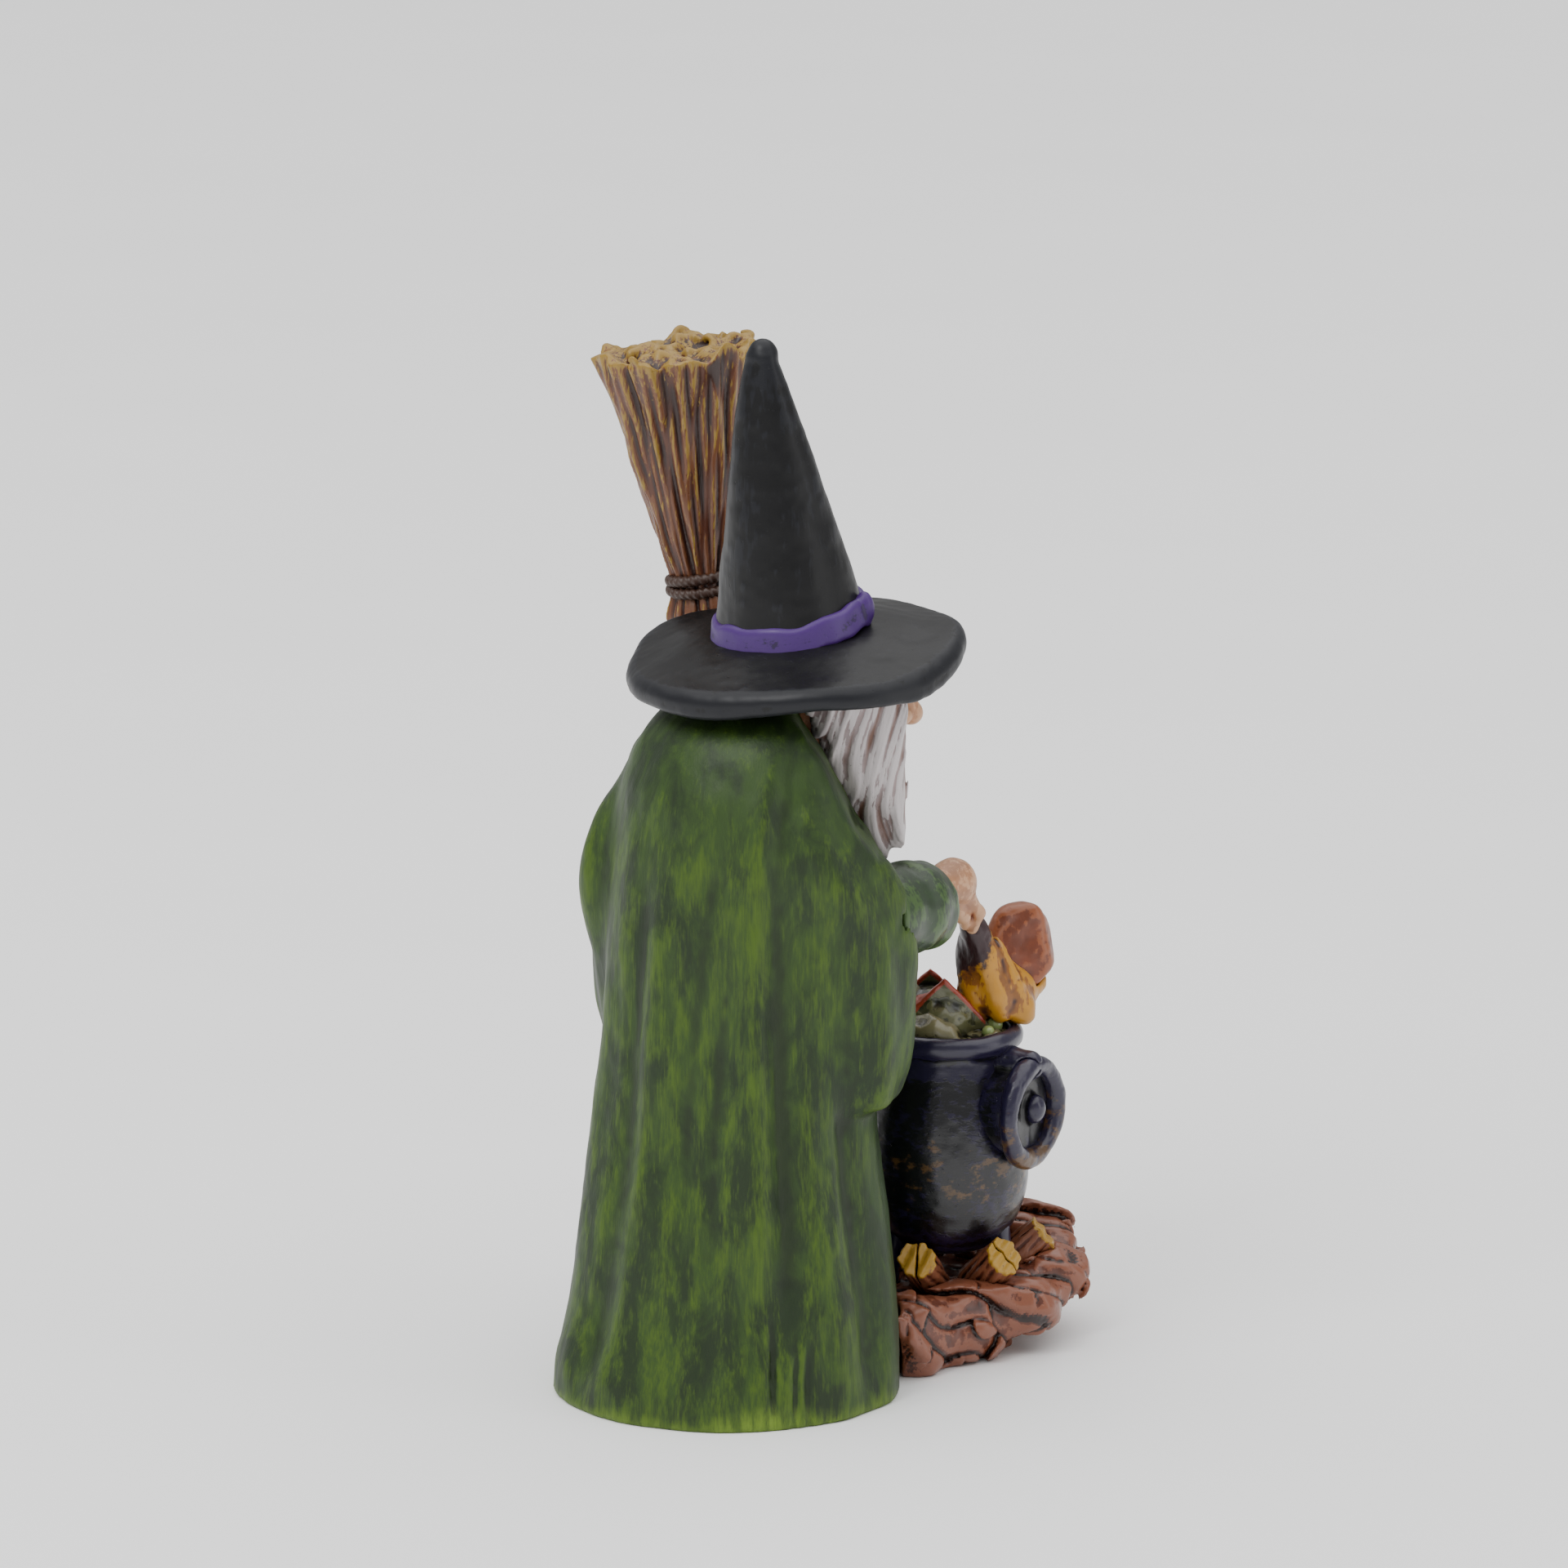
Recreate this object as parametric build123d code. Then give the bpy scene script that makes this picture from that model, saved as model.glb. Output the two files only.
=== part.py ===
from build123d import *
import math
import os

# A cold-cast witch figurine, 120 mm tall. Millimetres, +Z up. The witch faces -Y and her right hand is
# towards -X. Everything is laid out about the robe's own centre on the ground, and moved at the end so
# that the origin is under the middle of the whole piece.

# Hat
BRIM_CENTRE = Vector(0, -10, 86.1)
HAT_AXIS = Vector(-0.025, 0.139, 0.99)
BRIM_RADIUS = 19.0
BRIM_THICK = 2.8
BRIM_DROOP = 2.4
CROWN_RADIUS = 9.1
CROWN_HEIGHT = 34.0
CROWN_TIP_RADIUS = 1.5
BAND_HEIGHT = 3.4
BAND_THICK = 0.6

# Robe, as level ellipses: height, centre Y, half width, half depth
ROBE_RINGS = [
    (0, 0, 20, 20),
    (10, -1, 19.3, 18.8),
    (18, -1, 18.0, 17.3),
    (28, -1, 16.7, 16.0),
    (40, -1.5, 15.8, 15.2),
    (56, -2, 15.6, 14.8),
    (65, -2.5, 15.5, 14),
    (71, -3, 14, 13),
    (76, -4, 12, 11),
    (80, -6, 9, 8.5),
]
# Outer sleeves, as level ellipses: height, centre X, centre Y, half width, half depth
RIGHT_SLEEVE_RINGS = [
    (34, -11.5, -8, 5.5, 6.4),
    (45, -12, -8, 6.4, 7.6),
    (53, -12, -8, 6.5, 7.8),
    (62, -11.5, -5.5, 6, 7.4),
    (70, -9, -3.5, 4.6, 5.5),
]
LEFT_SLEEVE_RINGS = [
    (37, 12, 1.5, 5, 5.6),
    (48, 13, 2, 6, 6.8),
    (57, 13.2, 3, 6, 7),
    (64, 12, 1.5, 5.8, 6.8),
    (71, 9, -0.5, 4.6, 5.5),
]
RIGHT_ELBOW = Vector(-12.2, -11, 55)
RIGHT_CUFF = Vector(-7.4, -24.3, 54.4)
LEFT_ELBOW = Vector(14.2, 0, 52)
LEFT_CUFF = Vector(18.4, -11.6, 49.4)
INNER_SLEEVE_RADIUS = 5.3
RIGHT_PALM = Vector(-5.2, -27.6, 54.6)
RIGHT_FINGERTIPS = Vector(-4.0, -29.6, 49.8)
FINGER_RADIUS = 0.75
PALM_RADIUS = 2.3
PALM_HALF_HEIGHT = 3.3
FIST_RADIUS = 2.9
FIST_HALF_HEIGHT = 3.4

# Head and hair
HEAD_CENTRE = Vector(0, -13.5, 75.5)
HEAD_RADIUS = 7.4
HEAD_HALF_HEIGHT = 9.5
NOSE_TIP = Vector(0, -25.0, 75.0)
NOSE_ROOT = Vector(0, -19.5, 77.5)
CHIN = Vector(0, -20.0, 68.2)
NOSE_RADIUS = 1.4
CHIN_RADIUS = 2.4
# Hair locks, as level ellipses: height, distance from the middle, centre Y, half width, half depth
HAIR_RINGS = [
    (60, 5.5, -17.4, 2.2, 2.0),
    (65, 5.6, -16.8, 3.4, 3.2),
    (71, 6.0, -14.7, 4.0, 4.9),
    (83, 6.0, -12.0, 4.0, 6.6),
]

# Broom, held upright with its bristles up
BROOM_DIR = Vector(2.6, 2.1, 31).normalized()
BROOM_BUTT = Vector(22.9, -13.1, 80.4)
HANDLE_RADIUS = 1.4
HANDLE_FOOT_Z = 4.0
HANDLE_INSIDE = 8.0
# Bristle bundle: distance above the butt, radius
BRISTLE_RINGS = [(0, 3.0), (2.5, 3.8), (6.5, 3.3), (13, 4.5), (19, 5.9), (27, 7.5), (33.8, 9.3)]
CORD_RADIUS = 0.6
CORD_LOOP_RADIUS = 3.4
CORD_HEIGHTS = (6.0, 7.3)
GRIP_Z = 49.4

# Cauldron, about its own upright axis: radius, height
POT_CENTRE = (0, -30.5)
POT_OUTSIDE = [(4.6, 11), (7.0, 13), (8.7, 16.2), (9.5, 21.5), (9.2, 27), (8.1, 31.6), (7.4, 34.2)]
POT_LIP = [(8.4, 35.2), (8.5, 37.0), (7.8, 37.6)]
POT_MOUTH_RADIUS = 6.9
POT_FLOOR_Z = 29.0
FOOT_ANGLES = {"back": 83, "right": 209, "left": 320}
RING_ANGLES = {"right": 204, "left": 24}
RING_RADIUS = 5.4
RING_WIRE = 1.2
RING_Z = 28.4
RING_OFFSET = 11.2
LUG_Z = 33.8
LUG_START = 7.7
LUG_RADIUS = 2.1
LUG_TIP_RADIUS = 1.8
# The rounded boss each ring hangs against
BOSS_START = 7.7
BOSS_END = 10.8
BOSS_RADIUS = 3.9
BOSS_TIP_RADIUS = 3.3
FOOT_TOP = (6.4, 14.5)
FOOT_TOE = (7.6, 7.6)
FOOT_TOP_RADIUS = 1.4
FOOT_TOE_RADIUS = 1.0

# Contents
BREW_TOP_Z = 36.6
BUBBLES = [
    (-3.6, -34.6, 37.6, 1.0), (-5.2, -32.4, 37.3, 0.8),
    (4.2, -34.2, 37.5, 1.1), (5.4, -29.4, 37.3, 0.8),
]
TOAD_CENTRE = (0.6, -29.0, 39.6)
TOAD_RADIUS = 4.3
TOAD_HALF_HEIGHT = 4.9
# Pouch, as level ellipses: height, centre X, centre Y, half width, half depth
POUCH_RINGS = [
    (38.6, -2.0, -37.0, 4.0, 5.0),
    (42, -2.6, -34.8, 3.6, 4.3),
    (46, -3.2, -32.6, 2.6, 3.2),
    (50, -3.6, -30.6, 1.5, 1.6),
]
LUMP_CENTRE = (-0.8, -40.6, 45.2)
LUMP_RADIUS = 3.8
LUMP_HALF_HEIGHT = 5.2

# Rounded solids are lofted through circles at these latitudes, in degrees
BALL_LATITUDES = (-80, -60, -35, 0, 35, 60, 80)

# Ground
ROCK_FOOT = [(-9.5, -8), (-10.5, -24), (-10.5, -32), (-6, -39), (0, -40.5), (8, -39), (13, -31), (20, -25),
             (21, -15), (12, -8)]
ROCK_TOP = [(-12, -8), (-13.5, -24), (-12.5, -34), (-7, -44), (0, -48.6), (8, -45), (14.5, -33), (21, -26),
            (22, -15), (12, -8)]
RIDGE_FOOT = [(-8, -41.5), (0, -48), (8, -44), (9, -40), (0, -41.5), (-7, -40)]
RIDGE_TOP = [(-6, -42), (0, -46.5), (6, -43.5), (7, -40.8), (0, -42), (-5, -40.8)]
ROCK_TOP_Z = 8.4
RIDGE_TOP_Z = 12.6
LOG_ANGLES = [127, 180, 238, 291, 350, 40]
LOG_INNER = (5.2, 7.6)
LOG_OUTER = (11.4, 12.4)
LOG_RADIUS = 2.2


def ball(centre, radius, half_height):
    """A spheroid about an upright axis, lofted through level circles, with a tiny flat at each pole."""
    levels = [math.radians(a) for a in BALL_LATITUDES]
    x, y, z = centre
    circles = [Pos(x, y, z + half_height * math.sin(a)) * Circle(radius * math.cos(a)) for a in levels]
    return loft(circles)


def rod(start, end, start_radius, end_radius):
    """A round tapering rod between two points."""
    run = end - start
    ends = [
        Plane(origin=start, z_dir=run) * Circle(start_radius),
        Plane(origin=end, z_dir=run) * Circle(end_radius),
    ]
    return loft(ends)


def ellipse_loft(rings):
    """A solid through level ellipses, each (height, x, y, half width, half depth)."""
    return loft([Pos(x, y, z) * Ellipse(rx, ry) for z, x, y, rx, ry in rings], ruled=True)


def turned(outline, place):
    """A solid of revolution of a closed outline of (radius, height) points, about place's Z axis."""
    face = make_face(Polyline(*[(r, 0, z) for r, z in outline], close=True))
    return place * revolve(face, axis=Axis.Z)


def around_pot(angle, radius, height):
    """A point at an angle and radius about the pot's axis."""
    turn = math.radians(angle)
    x = POT_CENTRE[0] + radius * math.cos(turn)
    y = POT_CENTRE[1] + radius * math.sin(turn)
    return Vector(x, y, height)


def broom_at(distance):
    """A point on the broom's axis, by its distance above the butt of the bristles."""
    return BROOM_BUTT + BROOM_DIR * distance


def hat_plane():
    return Plane(origin=BRIM_CENTRE, x_dir=(1, 0, 0), z_dir=HAT_AXIS)


def crown_radius(height):
    return CROWN_RADIUS + (CROWN_TIP_RADIUS - CROWN_RADIUS) * height / CROWN_HEIGHT


def hat():
    place = hat_plane().location
    r = BRIM_RADIUS
    flat = CROWN_RADIUS + 1.5
    brim = turned(
        [(0, 0), (flat, 0), (r * 0.8, -BRIM_DROOP * 0.4), (r, -BRIM_DROOP), (r, -BRIM_DROOP - BRIM_THICK),
         (r * 0.8, -BRIM_DROOP * 0.5 - BRIM_THICK), (flat, -BRIM_THICK), (0, -BRIM_THICK)], place)
    stand = (Align.CENTER, Align.CENTER, Align.MIN)
    crown = place * Cone(CROWN_RADIUS, CROWN_TIP_RADIUS, CROWN_HEIGHT, align=stand)
    crown = fillet(crown.edges().sort_by(Axis.Z)[-1], CROWN_TIP_RADIUS * 0.7)
    band_top = crown_radius(BAND_HEIGHT)
    band = turned(
        [(CROWN_RADIUS, 0), (CROWN_RADIUS + BAND_THICK, 0), (band_top + BAND_THICK, BAND_HEIGHT),
         (band_top, BAND_HEIGHT)], place)
    return {"hat_brim": brim, "hat_crown": crown, "hat_band": band}


def broom():
    top = broom_at(BRISTLE_RINGS[-1][0])
    foot = broom_at((HANDLE_FOOT_Z - BROOM_BUTT.Z) / BROOM_DIR.Z)
    rings = [Plane(origin=broom_at(d), z_dir=top - foot) * Circle(r) for d, r in BRISTLE_RINGS]
    cord = Torus(CORD_LOOP_RADIUS, CORD_RADIUS)
    cords = [Plane(origin=broom_at(d), z_dir=BROOM_DIR) * cord for d in CORD_HEIGHTS]
    return {
        "broom_handle": rod(foot, broom_at(HANDLE_INSIDE), HANDLE_RADIUS, HANDLE_RADIUS),
        "broom_bristles": loft(rings),
        "broom_cord_lower": cords[0],
        "broom_cord_upper": cords[1],
    }


def right_hand():
    """A drooping hand, its fingers pinched on the neck of the pouch."""
    hand = ball(RIGHT_PALM, PALM_RADIUS, PALM_HALF_HEIGHT)
    for i in range(4):
        knuckle = RIGHT_PALM + Vector(-1.5 + i, -0.8, -0.6)
        tip = RIGHT_FINGERTIPS + Vector(-1.2 + 0.8 * i, 0, 0.3 * i)
        hand += rod(knuckle, tip, FINGER_RADIUS * 1.2, FINGER_RADIUS)
    return hand


def sleeves():
    shapes = {}
    sides = {
        "right": (RIGHT_SLEEVE_RINGS, RIGHT_ELBOW, RIGHT_CUFF, 1.0),
        "left": (LEFT_SLEEVE_RINGS, LEFT_ELBOW, LEFT_CUFF, 0.75),
    }
    for side, (rings, elbow, cuff, size) in sides.items():
        radius = INNER_SLEEVE_RADIUS * size
        shapes[side + "_inner_sleeve"] = rod(elbow, cuff, radius * 0.95, radius)
        shapes[side + "_outer_sleeve"] = ellipse_loft(rings)
    return shapes


def head():
    skull = ball(HEAD_CENTRE, HEAD_RADIUS, HEAD_HALF_HEIGHT)
    nose = rod(NOSE_ROOT, NOSE_TIP, NOSE_RADIUS * 1.2, NOSE_RADIUS)
    return skull + nose + ball(CHIN, CHIN_RADIUS, CHIN_RADIUS)


def hair(side):
    return ellipse_loft([(z, side * x, y, rx, ry) for z, x, y, rx, ry in HAIR_RINGS])


def cauldron():
    place = Location((*POT_CENTRE, 0))
    wall = [(0, POT_OUTSIDE[0][1])] + POT_OUTSIDE + POT_LIP
    wall += [(POT_MOUTH_RADIUS, POT_LIP[-1][1]), (POT_MOUTH_RADIUS, POT_FLOOR_Z), (0, POT_FLOOR_Z)]
    shapes = {"cauldron_pot": turned(wall, place)}
    for side, angle in FOOT_ANGLES.items():
        ends = around_pot(angle, *FOOT_TOP), around_pot(angle, *FOOT_TOE)
        shapes["cauldron_foot_" + side] = rod(*ends, FOOT_TOP_RADIUS, FOOT_TOE_RADIUS)
    for side, angle in RING_ANGLES.items():
        outward = around_pot(angle, 1, 0) - around_pot(angle, 0, 0)
        ring_place = Plane(origin=around_pot(angle, RING_OFFSET, RING_Z), z_dir=outward)
        shapes["cauldron_ring_" + side] = ring_place * Torus(RING_RADIUS, RING_WIRE)
        ends = around_pot(angle, LUG_START, LUG_Z), around_pot(angle, RING_OFFSET, LUG_Z)
        lug = rod(*ends, LUG_RADIUS, LUG_TIP_RADIUS)
        ends = around_pot(angle, BOSS_START, RING_Z), around_pot(angle, BOSS_END, RING_Z)
        shapes["cauldron_lug_" + side] = lug + rod(*ends, BOSS_RADIUS, BOSS_TIP_RADIUS)
    return shapes


def contents():
    x, y = POT_CENTRE
    brew = Pos(x, y, POT_FLOOR_Z) * Cylinder(
        POT_MOUTH_RADIUS, BREW_TOP_Z - POT_FLOOR_Z, align=(Align.CENTER, Align.CENTER, Align.MIN))
    beads = [ball((bx, by, bz), r, r) for bx, by, bz, r in BUBBLES]
    return {
        "brew": brew,
        "brew_toad": ball(TOAD_CENTRE, TOAD_RADIUS, TOAD_HALF_HEIGHT),
        "ingredient_pouch": ellipse_loft(POUCH_RINGS),
        "ingredient_lump": ball(LUMP_CENTRE, LUMP_RADIUS, LUMP_HALF_HEIGHT),
        "brew_bubbles": Compound(children=[bead.solid() for bead in beads]),
    }


def slab(foot, foot_z, top, top_z):
    low = make_face(Polyline(*[(x, y, foot_z) for x, y in foot], close=True))
    high = make_face(Polyline(*[(x, y, top_z) for x, y in top], close=True))
    return loft([low, high], ruled=True)


def ground():
    rock = slab(ROCK_FOOT, 0, ROCK_TOP, ROCK_TOP_Z)
    return rock + slab(RIDGE_FOOT, ROCK_TOP_Z - 1, RIDGE_TOP, RIDGE_TOP_Z)


def whole_shapes():
    """Every piece as its full shape, before it is cut back where a neighbour sits in it."""
    shapes = hat()
    shapes.update(broom())
    shapes.update(sleeves())
    shapes.update(cauldron())
    shapes.update(contents())
    shapes["right_hand"] = right_hand()
    grip = broom_at((GRIP_Z - BROOM_BUTT.Z) / BROOM_DIR.Z)
    shapes["left_hand"] = ball(grip, FIST_RADIUS, FIST_HALF_HEIGHT)
    shapes["head"] = head()
    shapes["hair_right"] = hair(-1)
    shapes["hair_left"] = hair(1)
    shapes["robe"] = ellipse_loft([(z, 0, y, rx, ry) for z, y, rx, ry in ROBE_RINGS])
    for number, angle in enumerate(LOG_ANGLES, start=1):
        ends = around_pot(angle, *LOG_INNER), around_pot(angle, *LOG_OUTER)
        shapes[f"firewood_log_{number}"] = rod(*ends, LOG_RADIUS * 0.9, LOG_RADIUS)
    shapes["rock_base"] = ground()
    return shapes


def neighbours(name, names):
    """The pieces that keep their full shape where this one meets them."""
    logs = [n for n in names if n.startswith("firewood_log")]
    feet = [n for n in names if n.startswith("cauldron_foot")]
    sleeve_parts = [n for n in names if n.endswith("sleeve")]
    side = name.split("_")[-1]
    table = {
        "broom_bristles": ["broom_handle", "broom_cord_lower", "broom_cord_upper"],
        "right_outer_sleeve": ["right_inner_sleeve"],
        "left_outer_sleeve": ["left_inner_sleeve"],
        "right_hand": ["right_inner_sleeve", "ingredient_pouch"],
        "left_hand": ["left_inner_sleeve", "broom_handle"],
        "head": ["hat_brim"],
        "hair_right": ["hat_brim", "head"],
        "hair_left": ["hat_brim", "head"],
        "robe": ["hat_brim", "head", "hair_right", "hair_left"] + sleeve_parts,
        "cauldron_lug_" + side: ["cauldron_pot", "cauldron_ring_" + side],
        "cauldron_foot_" + side: ["cauldron_pot"],
        "brew_toad": ["brew"],
        "ingredient_pouch": ["cauldron_pot", "brew", "brew_toad"],
        "ingredient_lump": ["ingredient_pouch"],
        "brew_bubbles": ["brew", "brew_toad", "ingredient_pouch"],
        "rock_base": ["robe", "broom_handle"] + feet + logs,
    }
    return ["cauldron_pot"] if name in logs else table.get(name, [])


def build():
    shapes = whole_shapes()
    parts = {}
    for name, shape in shapes.items():
        solids = []
        for solid in shape.solids():
            for other in neighbours(name, shapes):
                solid = solid - shapes[other]
            solids += solid.solids()
        parts[name] = solids
    return parts


parts = build()
whole = Compound([solid for solids in parts.values() for solid in solids]).bounding_box()
home = Pos(-whole.center().X, -whole.center().Y, -whole.min.Z)
os.makedirs("parts", exist_ok=True)
for name, solids in parts.items():
    placed = [home * solid for solid in solids]
    shape = placed[0] if len(placed) == 1 else Compound(placed)
    export_step(shape, f"parts/{name}.step")
print("box", whole.size, "shift", home.position)
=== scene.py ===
import math
import bpy
import numpy as np
import openvdb as vdb
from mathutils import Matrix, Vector


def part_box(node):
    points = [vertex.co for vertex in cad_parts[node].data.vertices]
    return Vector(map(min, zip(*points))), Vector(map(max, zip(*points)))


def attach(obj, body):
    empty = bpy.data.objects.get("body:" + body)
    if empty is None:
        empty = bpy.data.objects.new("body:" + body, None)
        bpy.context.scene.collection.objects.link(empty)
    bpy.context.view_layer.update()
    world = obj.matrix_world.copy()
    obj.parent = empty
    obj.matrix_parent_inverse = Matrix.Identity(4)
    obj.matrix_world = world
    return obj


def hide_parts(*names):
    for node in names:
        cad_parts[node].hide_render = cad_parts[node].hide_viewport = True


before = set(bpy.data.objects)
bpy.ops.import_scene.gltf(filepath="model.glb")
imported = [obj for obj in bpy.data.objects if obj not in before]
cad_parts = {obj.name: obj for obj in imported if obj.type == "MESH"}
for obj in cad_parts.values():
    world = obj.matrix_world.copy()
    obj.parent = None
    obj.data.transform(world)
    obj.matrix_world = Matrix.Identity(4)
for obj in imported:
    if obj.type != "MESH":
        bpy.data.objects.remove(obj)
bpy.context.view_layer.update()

# The figurine is sculpted in millimetres about the middle of the robe's foot, and the witch faces -Y.
# POT_CENTRE is the pot's axis there, and HOME is where the robe's middle stands in the shared frame.
POT_CENTRE = (0.0, -30.5)
POT_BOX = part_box("cauldron_pot")
HOME = (np.array(POT_BOX[0]) + np.array(POT_BOX[1])) * 500 - np.array([*POT_CENTRE, 0])
HOME[2] = 0
MM = 0.001
# Level directions across the view and away from the camera, which stands behind the witch's right side.
ACROSS, AWAY = (-0.574, -0.819), (0.819, -0.574)
# Sculpted fields are kept this far, in millimetres, to either side of the surface.
FIELD_LIMIT = 3.0


# ---------- sculpting kit

class Block:
    """A box of evenly spaced sample points."""

    def __init__(self, low, high, step):
        self.low = np.array(low, np.float32)
        self.step = step
        self.shape = [int(round((b - a) / step)) + 1 for a, b in zip(low, high)]
        self.axes = [a + step * np.arange(n, dtype=np.float32) for a, n in zip(low, self.shape)]
        self.x, self.y, self.z = np.meshgrid(*self.axes, indexing="ij", sparse=True)

    def tilted(self, origin, axis):
        """Coordinates across and along an axis through origin."""
        w = unit(axis)
        u = unit(np.cross((0, 1, 0), w))
        v = np.cross(w, u)
        dx, dy, dz = self.x - origin[0], self.y - origin[1], self.z - origin[2]
        return [(dx * t[0] + dy * t[1] + dz * t[2]).astype(np.float32) for t in (u, v, w)]

    def around(self, origin, axis):
        """Distance from an axis, angle about it and height along it."""
        u, v, w = self.tilted(origin, axis)
        return np.sqrt(u * u + v * v), np.arctan2(v, u), w


def block_about(start, end, margin, step):
    """A block round the run from start to end."""
    return Block(np.minimum(start, end) - margin, np.maximum(start, end) + margin, step)


def unit(v):
    v = np.array(v, float)
    return v / np.linalg.norm(v)


def curve(at, knots, values):
    """A smooth curve through the values given at the knots."""
    knots, values = np.array(knots, float), np.array(values, float)
    slopes = np.gradient(values, knots)
    at = np.clip(at, knots[0], knots[-1])
    i = np.clip(np.searchsorted(knots, at) - 1, 0, len(knots) - 2)
    width = knots[i + 1] - knots[i]
    t = (at - knots[i]) / width
    blend = t * t * (3 - 2 * t)
    bend = t * (1 - t) * width * ((1 - t) * slopes[i] - t * slopes[i + 1])
    return (values[i] * (1 - blend) + values[i + 1] * blend + bend).astype(np.float32)


def melt(a, b, k):
    """Union with a soft joint k wide."""
    h = np.maximum(k - np.abs(a - b), 0) / k
    return np.minimum(a, b) - h * h * k * 0.25


def meet(a, b, k):
    """Intersection with a soft edge."""
    return -melt(-a, -b, k)


def cut(a, b, k):
    """Takes b out of a with a soft edge."""
    return -melt(-a, b, k)


def ball(g, centre, radii):
    rx, ry, rz = radii
    x, y, z = g.x - centre[0], g.y - centre[1], g.z - centre[2]
    near = np.sqrt((x / rx) ** 2 + (y / ry) ** 2 + (z / rz) ** 2)
    far = np.sqrt((x / rx ** 2) ** 2 + (y / ry ** 2) ** 2 + (z / rz ** 2) ** 2)
    return near * (near - 1) / (far + 1e-6)


def rod(g, start, end, start_radius, end_radius):
    """A tapering rod with round ends."""
    start, run = np.array(start, float), np.array(end, float) - np.array(start, float)
    x, y, z = g.x - start[0], g.y - start[1], g.z - start[2]
    t = np.clip((x * run[0] + y * run[1] + z * run[2]) / (run @ run), 0, 1)
    gap = np.sqrt((x - t * run[0]) ** 2 + (y - t * run[1]) ** 2 + (z - t * run[2]) ** 2)
    return gap - (start_radius + (end_radius - start_radius) * t)


def chain(g, points, radii, k=0.6):
    """Rods from point to point, melted together."""
    field = rod(g, points[0], points[1], radii[0], radii[1])
    for i in range(1, len(points) - 1):
        field = melt(field, rod(g, points[i], points[i + 1], radii[i], radii[i + 1]), k)
    return field


def side_of(g, point, normal):
    """Signed distance beyond a plane."""
    n = unit(normal)
    return (g.x - point[0]) * n[0] + (g.y - point[1]) * n[1] + (g.z - point[2]) * n[2]


def lumps(g, seed, size, stretch=(1, 1, 1)):
    """Smooth noise, -1 to 1, with lumps about size across."""
    rng = np.random.default_rng(seed)
    spots = [(axis - axis[0]) / (size * s) for axis, s in zip(g.axes, stretch)]
    value = rng.uniform(-1, 1, [int(s[-1]) + 2 for s in spots]).astype(np.float32)
    for axis, spot in enumerate(spots):
        i = spot.astype(int)
        t = spot - i
        t = (t * t * (3 - 2 * t)).reshape([-1 if a == axis else 1 for a in range(3)])
        low = np.take(value, i, axis)
        value = low + (np.take(value, i + 1, axis) - low) * t
    return value


def blurred(field, step, width):
    """The field averaged over a cube about width across."""
    reach = max(1, int(round(width / step / 2)))
    for axis in range(3):
        pads = [(reach + 1, reach) if a == axis else (0, 0) for a in range(3)]
        total = np.cumsum(np.pad(field, pads, mode="edge"), axis=axis, dtype=np.float32)
        count = field.shape[axis]
        near = [slice(None)] * 3
        far = [slice(None)] * 3
        near[axis], far[axis] = slice(0, count), slice(2 * reach + 1, 2 * reach + 1 + count)
        field = (total[tuple(far)] - total[tuple(near)]) / (2 * reach + 1)
    return field


def sampled(g, field, points):
    """The field read at points, between its samples."""
    spot = np.clip((points - g.low) / g.step, 0, np.array(field.shape) - 1.001)
    i = spot.astype(int)
    t = spot - i
    value = 0
    for corner in range(8):
        bits = [(corner >> axis) & 1 for axis in range(3)]
        weight = np.prod([t[:, a] if bits[a] else 1 - t[:, a] for a in range(3)], axis=0)
        value = value + weight * field[i[:, 0] + bits[0], i[:, 1] + bits[1], i[:, 2] + bits[2]]
    return value


def ridge_masks(g, form, points):
    """How far the form stands proud of its surroundings at points: fine and broad."""
    full = np.broadcast_to(form, g.shape).astype(np.float32)
    full = np.clip(full, -FIELD_LIMIT, FIELD_LIMIT)
    here = sampled(g, full, points)
    fine = sampled(g, blurred(full, g.step, 0.9), points) - here
    broad = sampled(g, blurred(full, g.step, 2.8), points) - here
    return fine / 0.05, broad / 0.25


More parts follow.
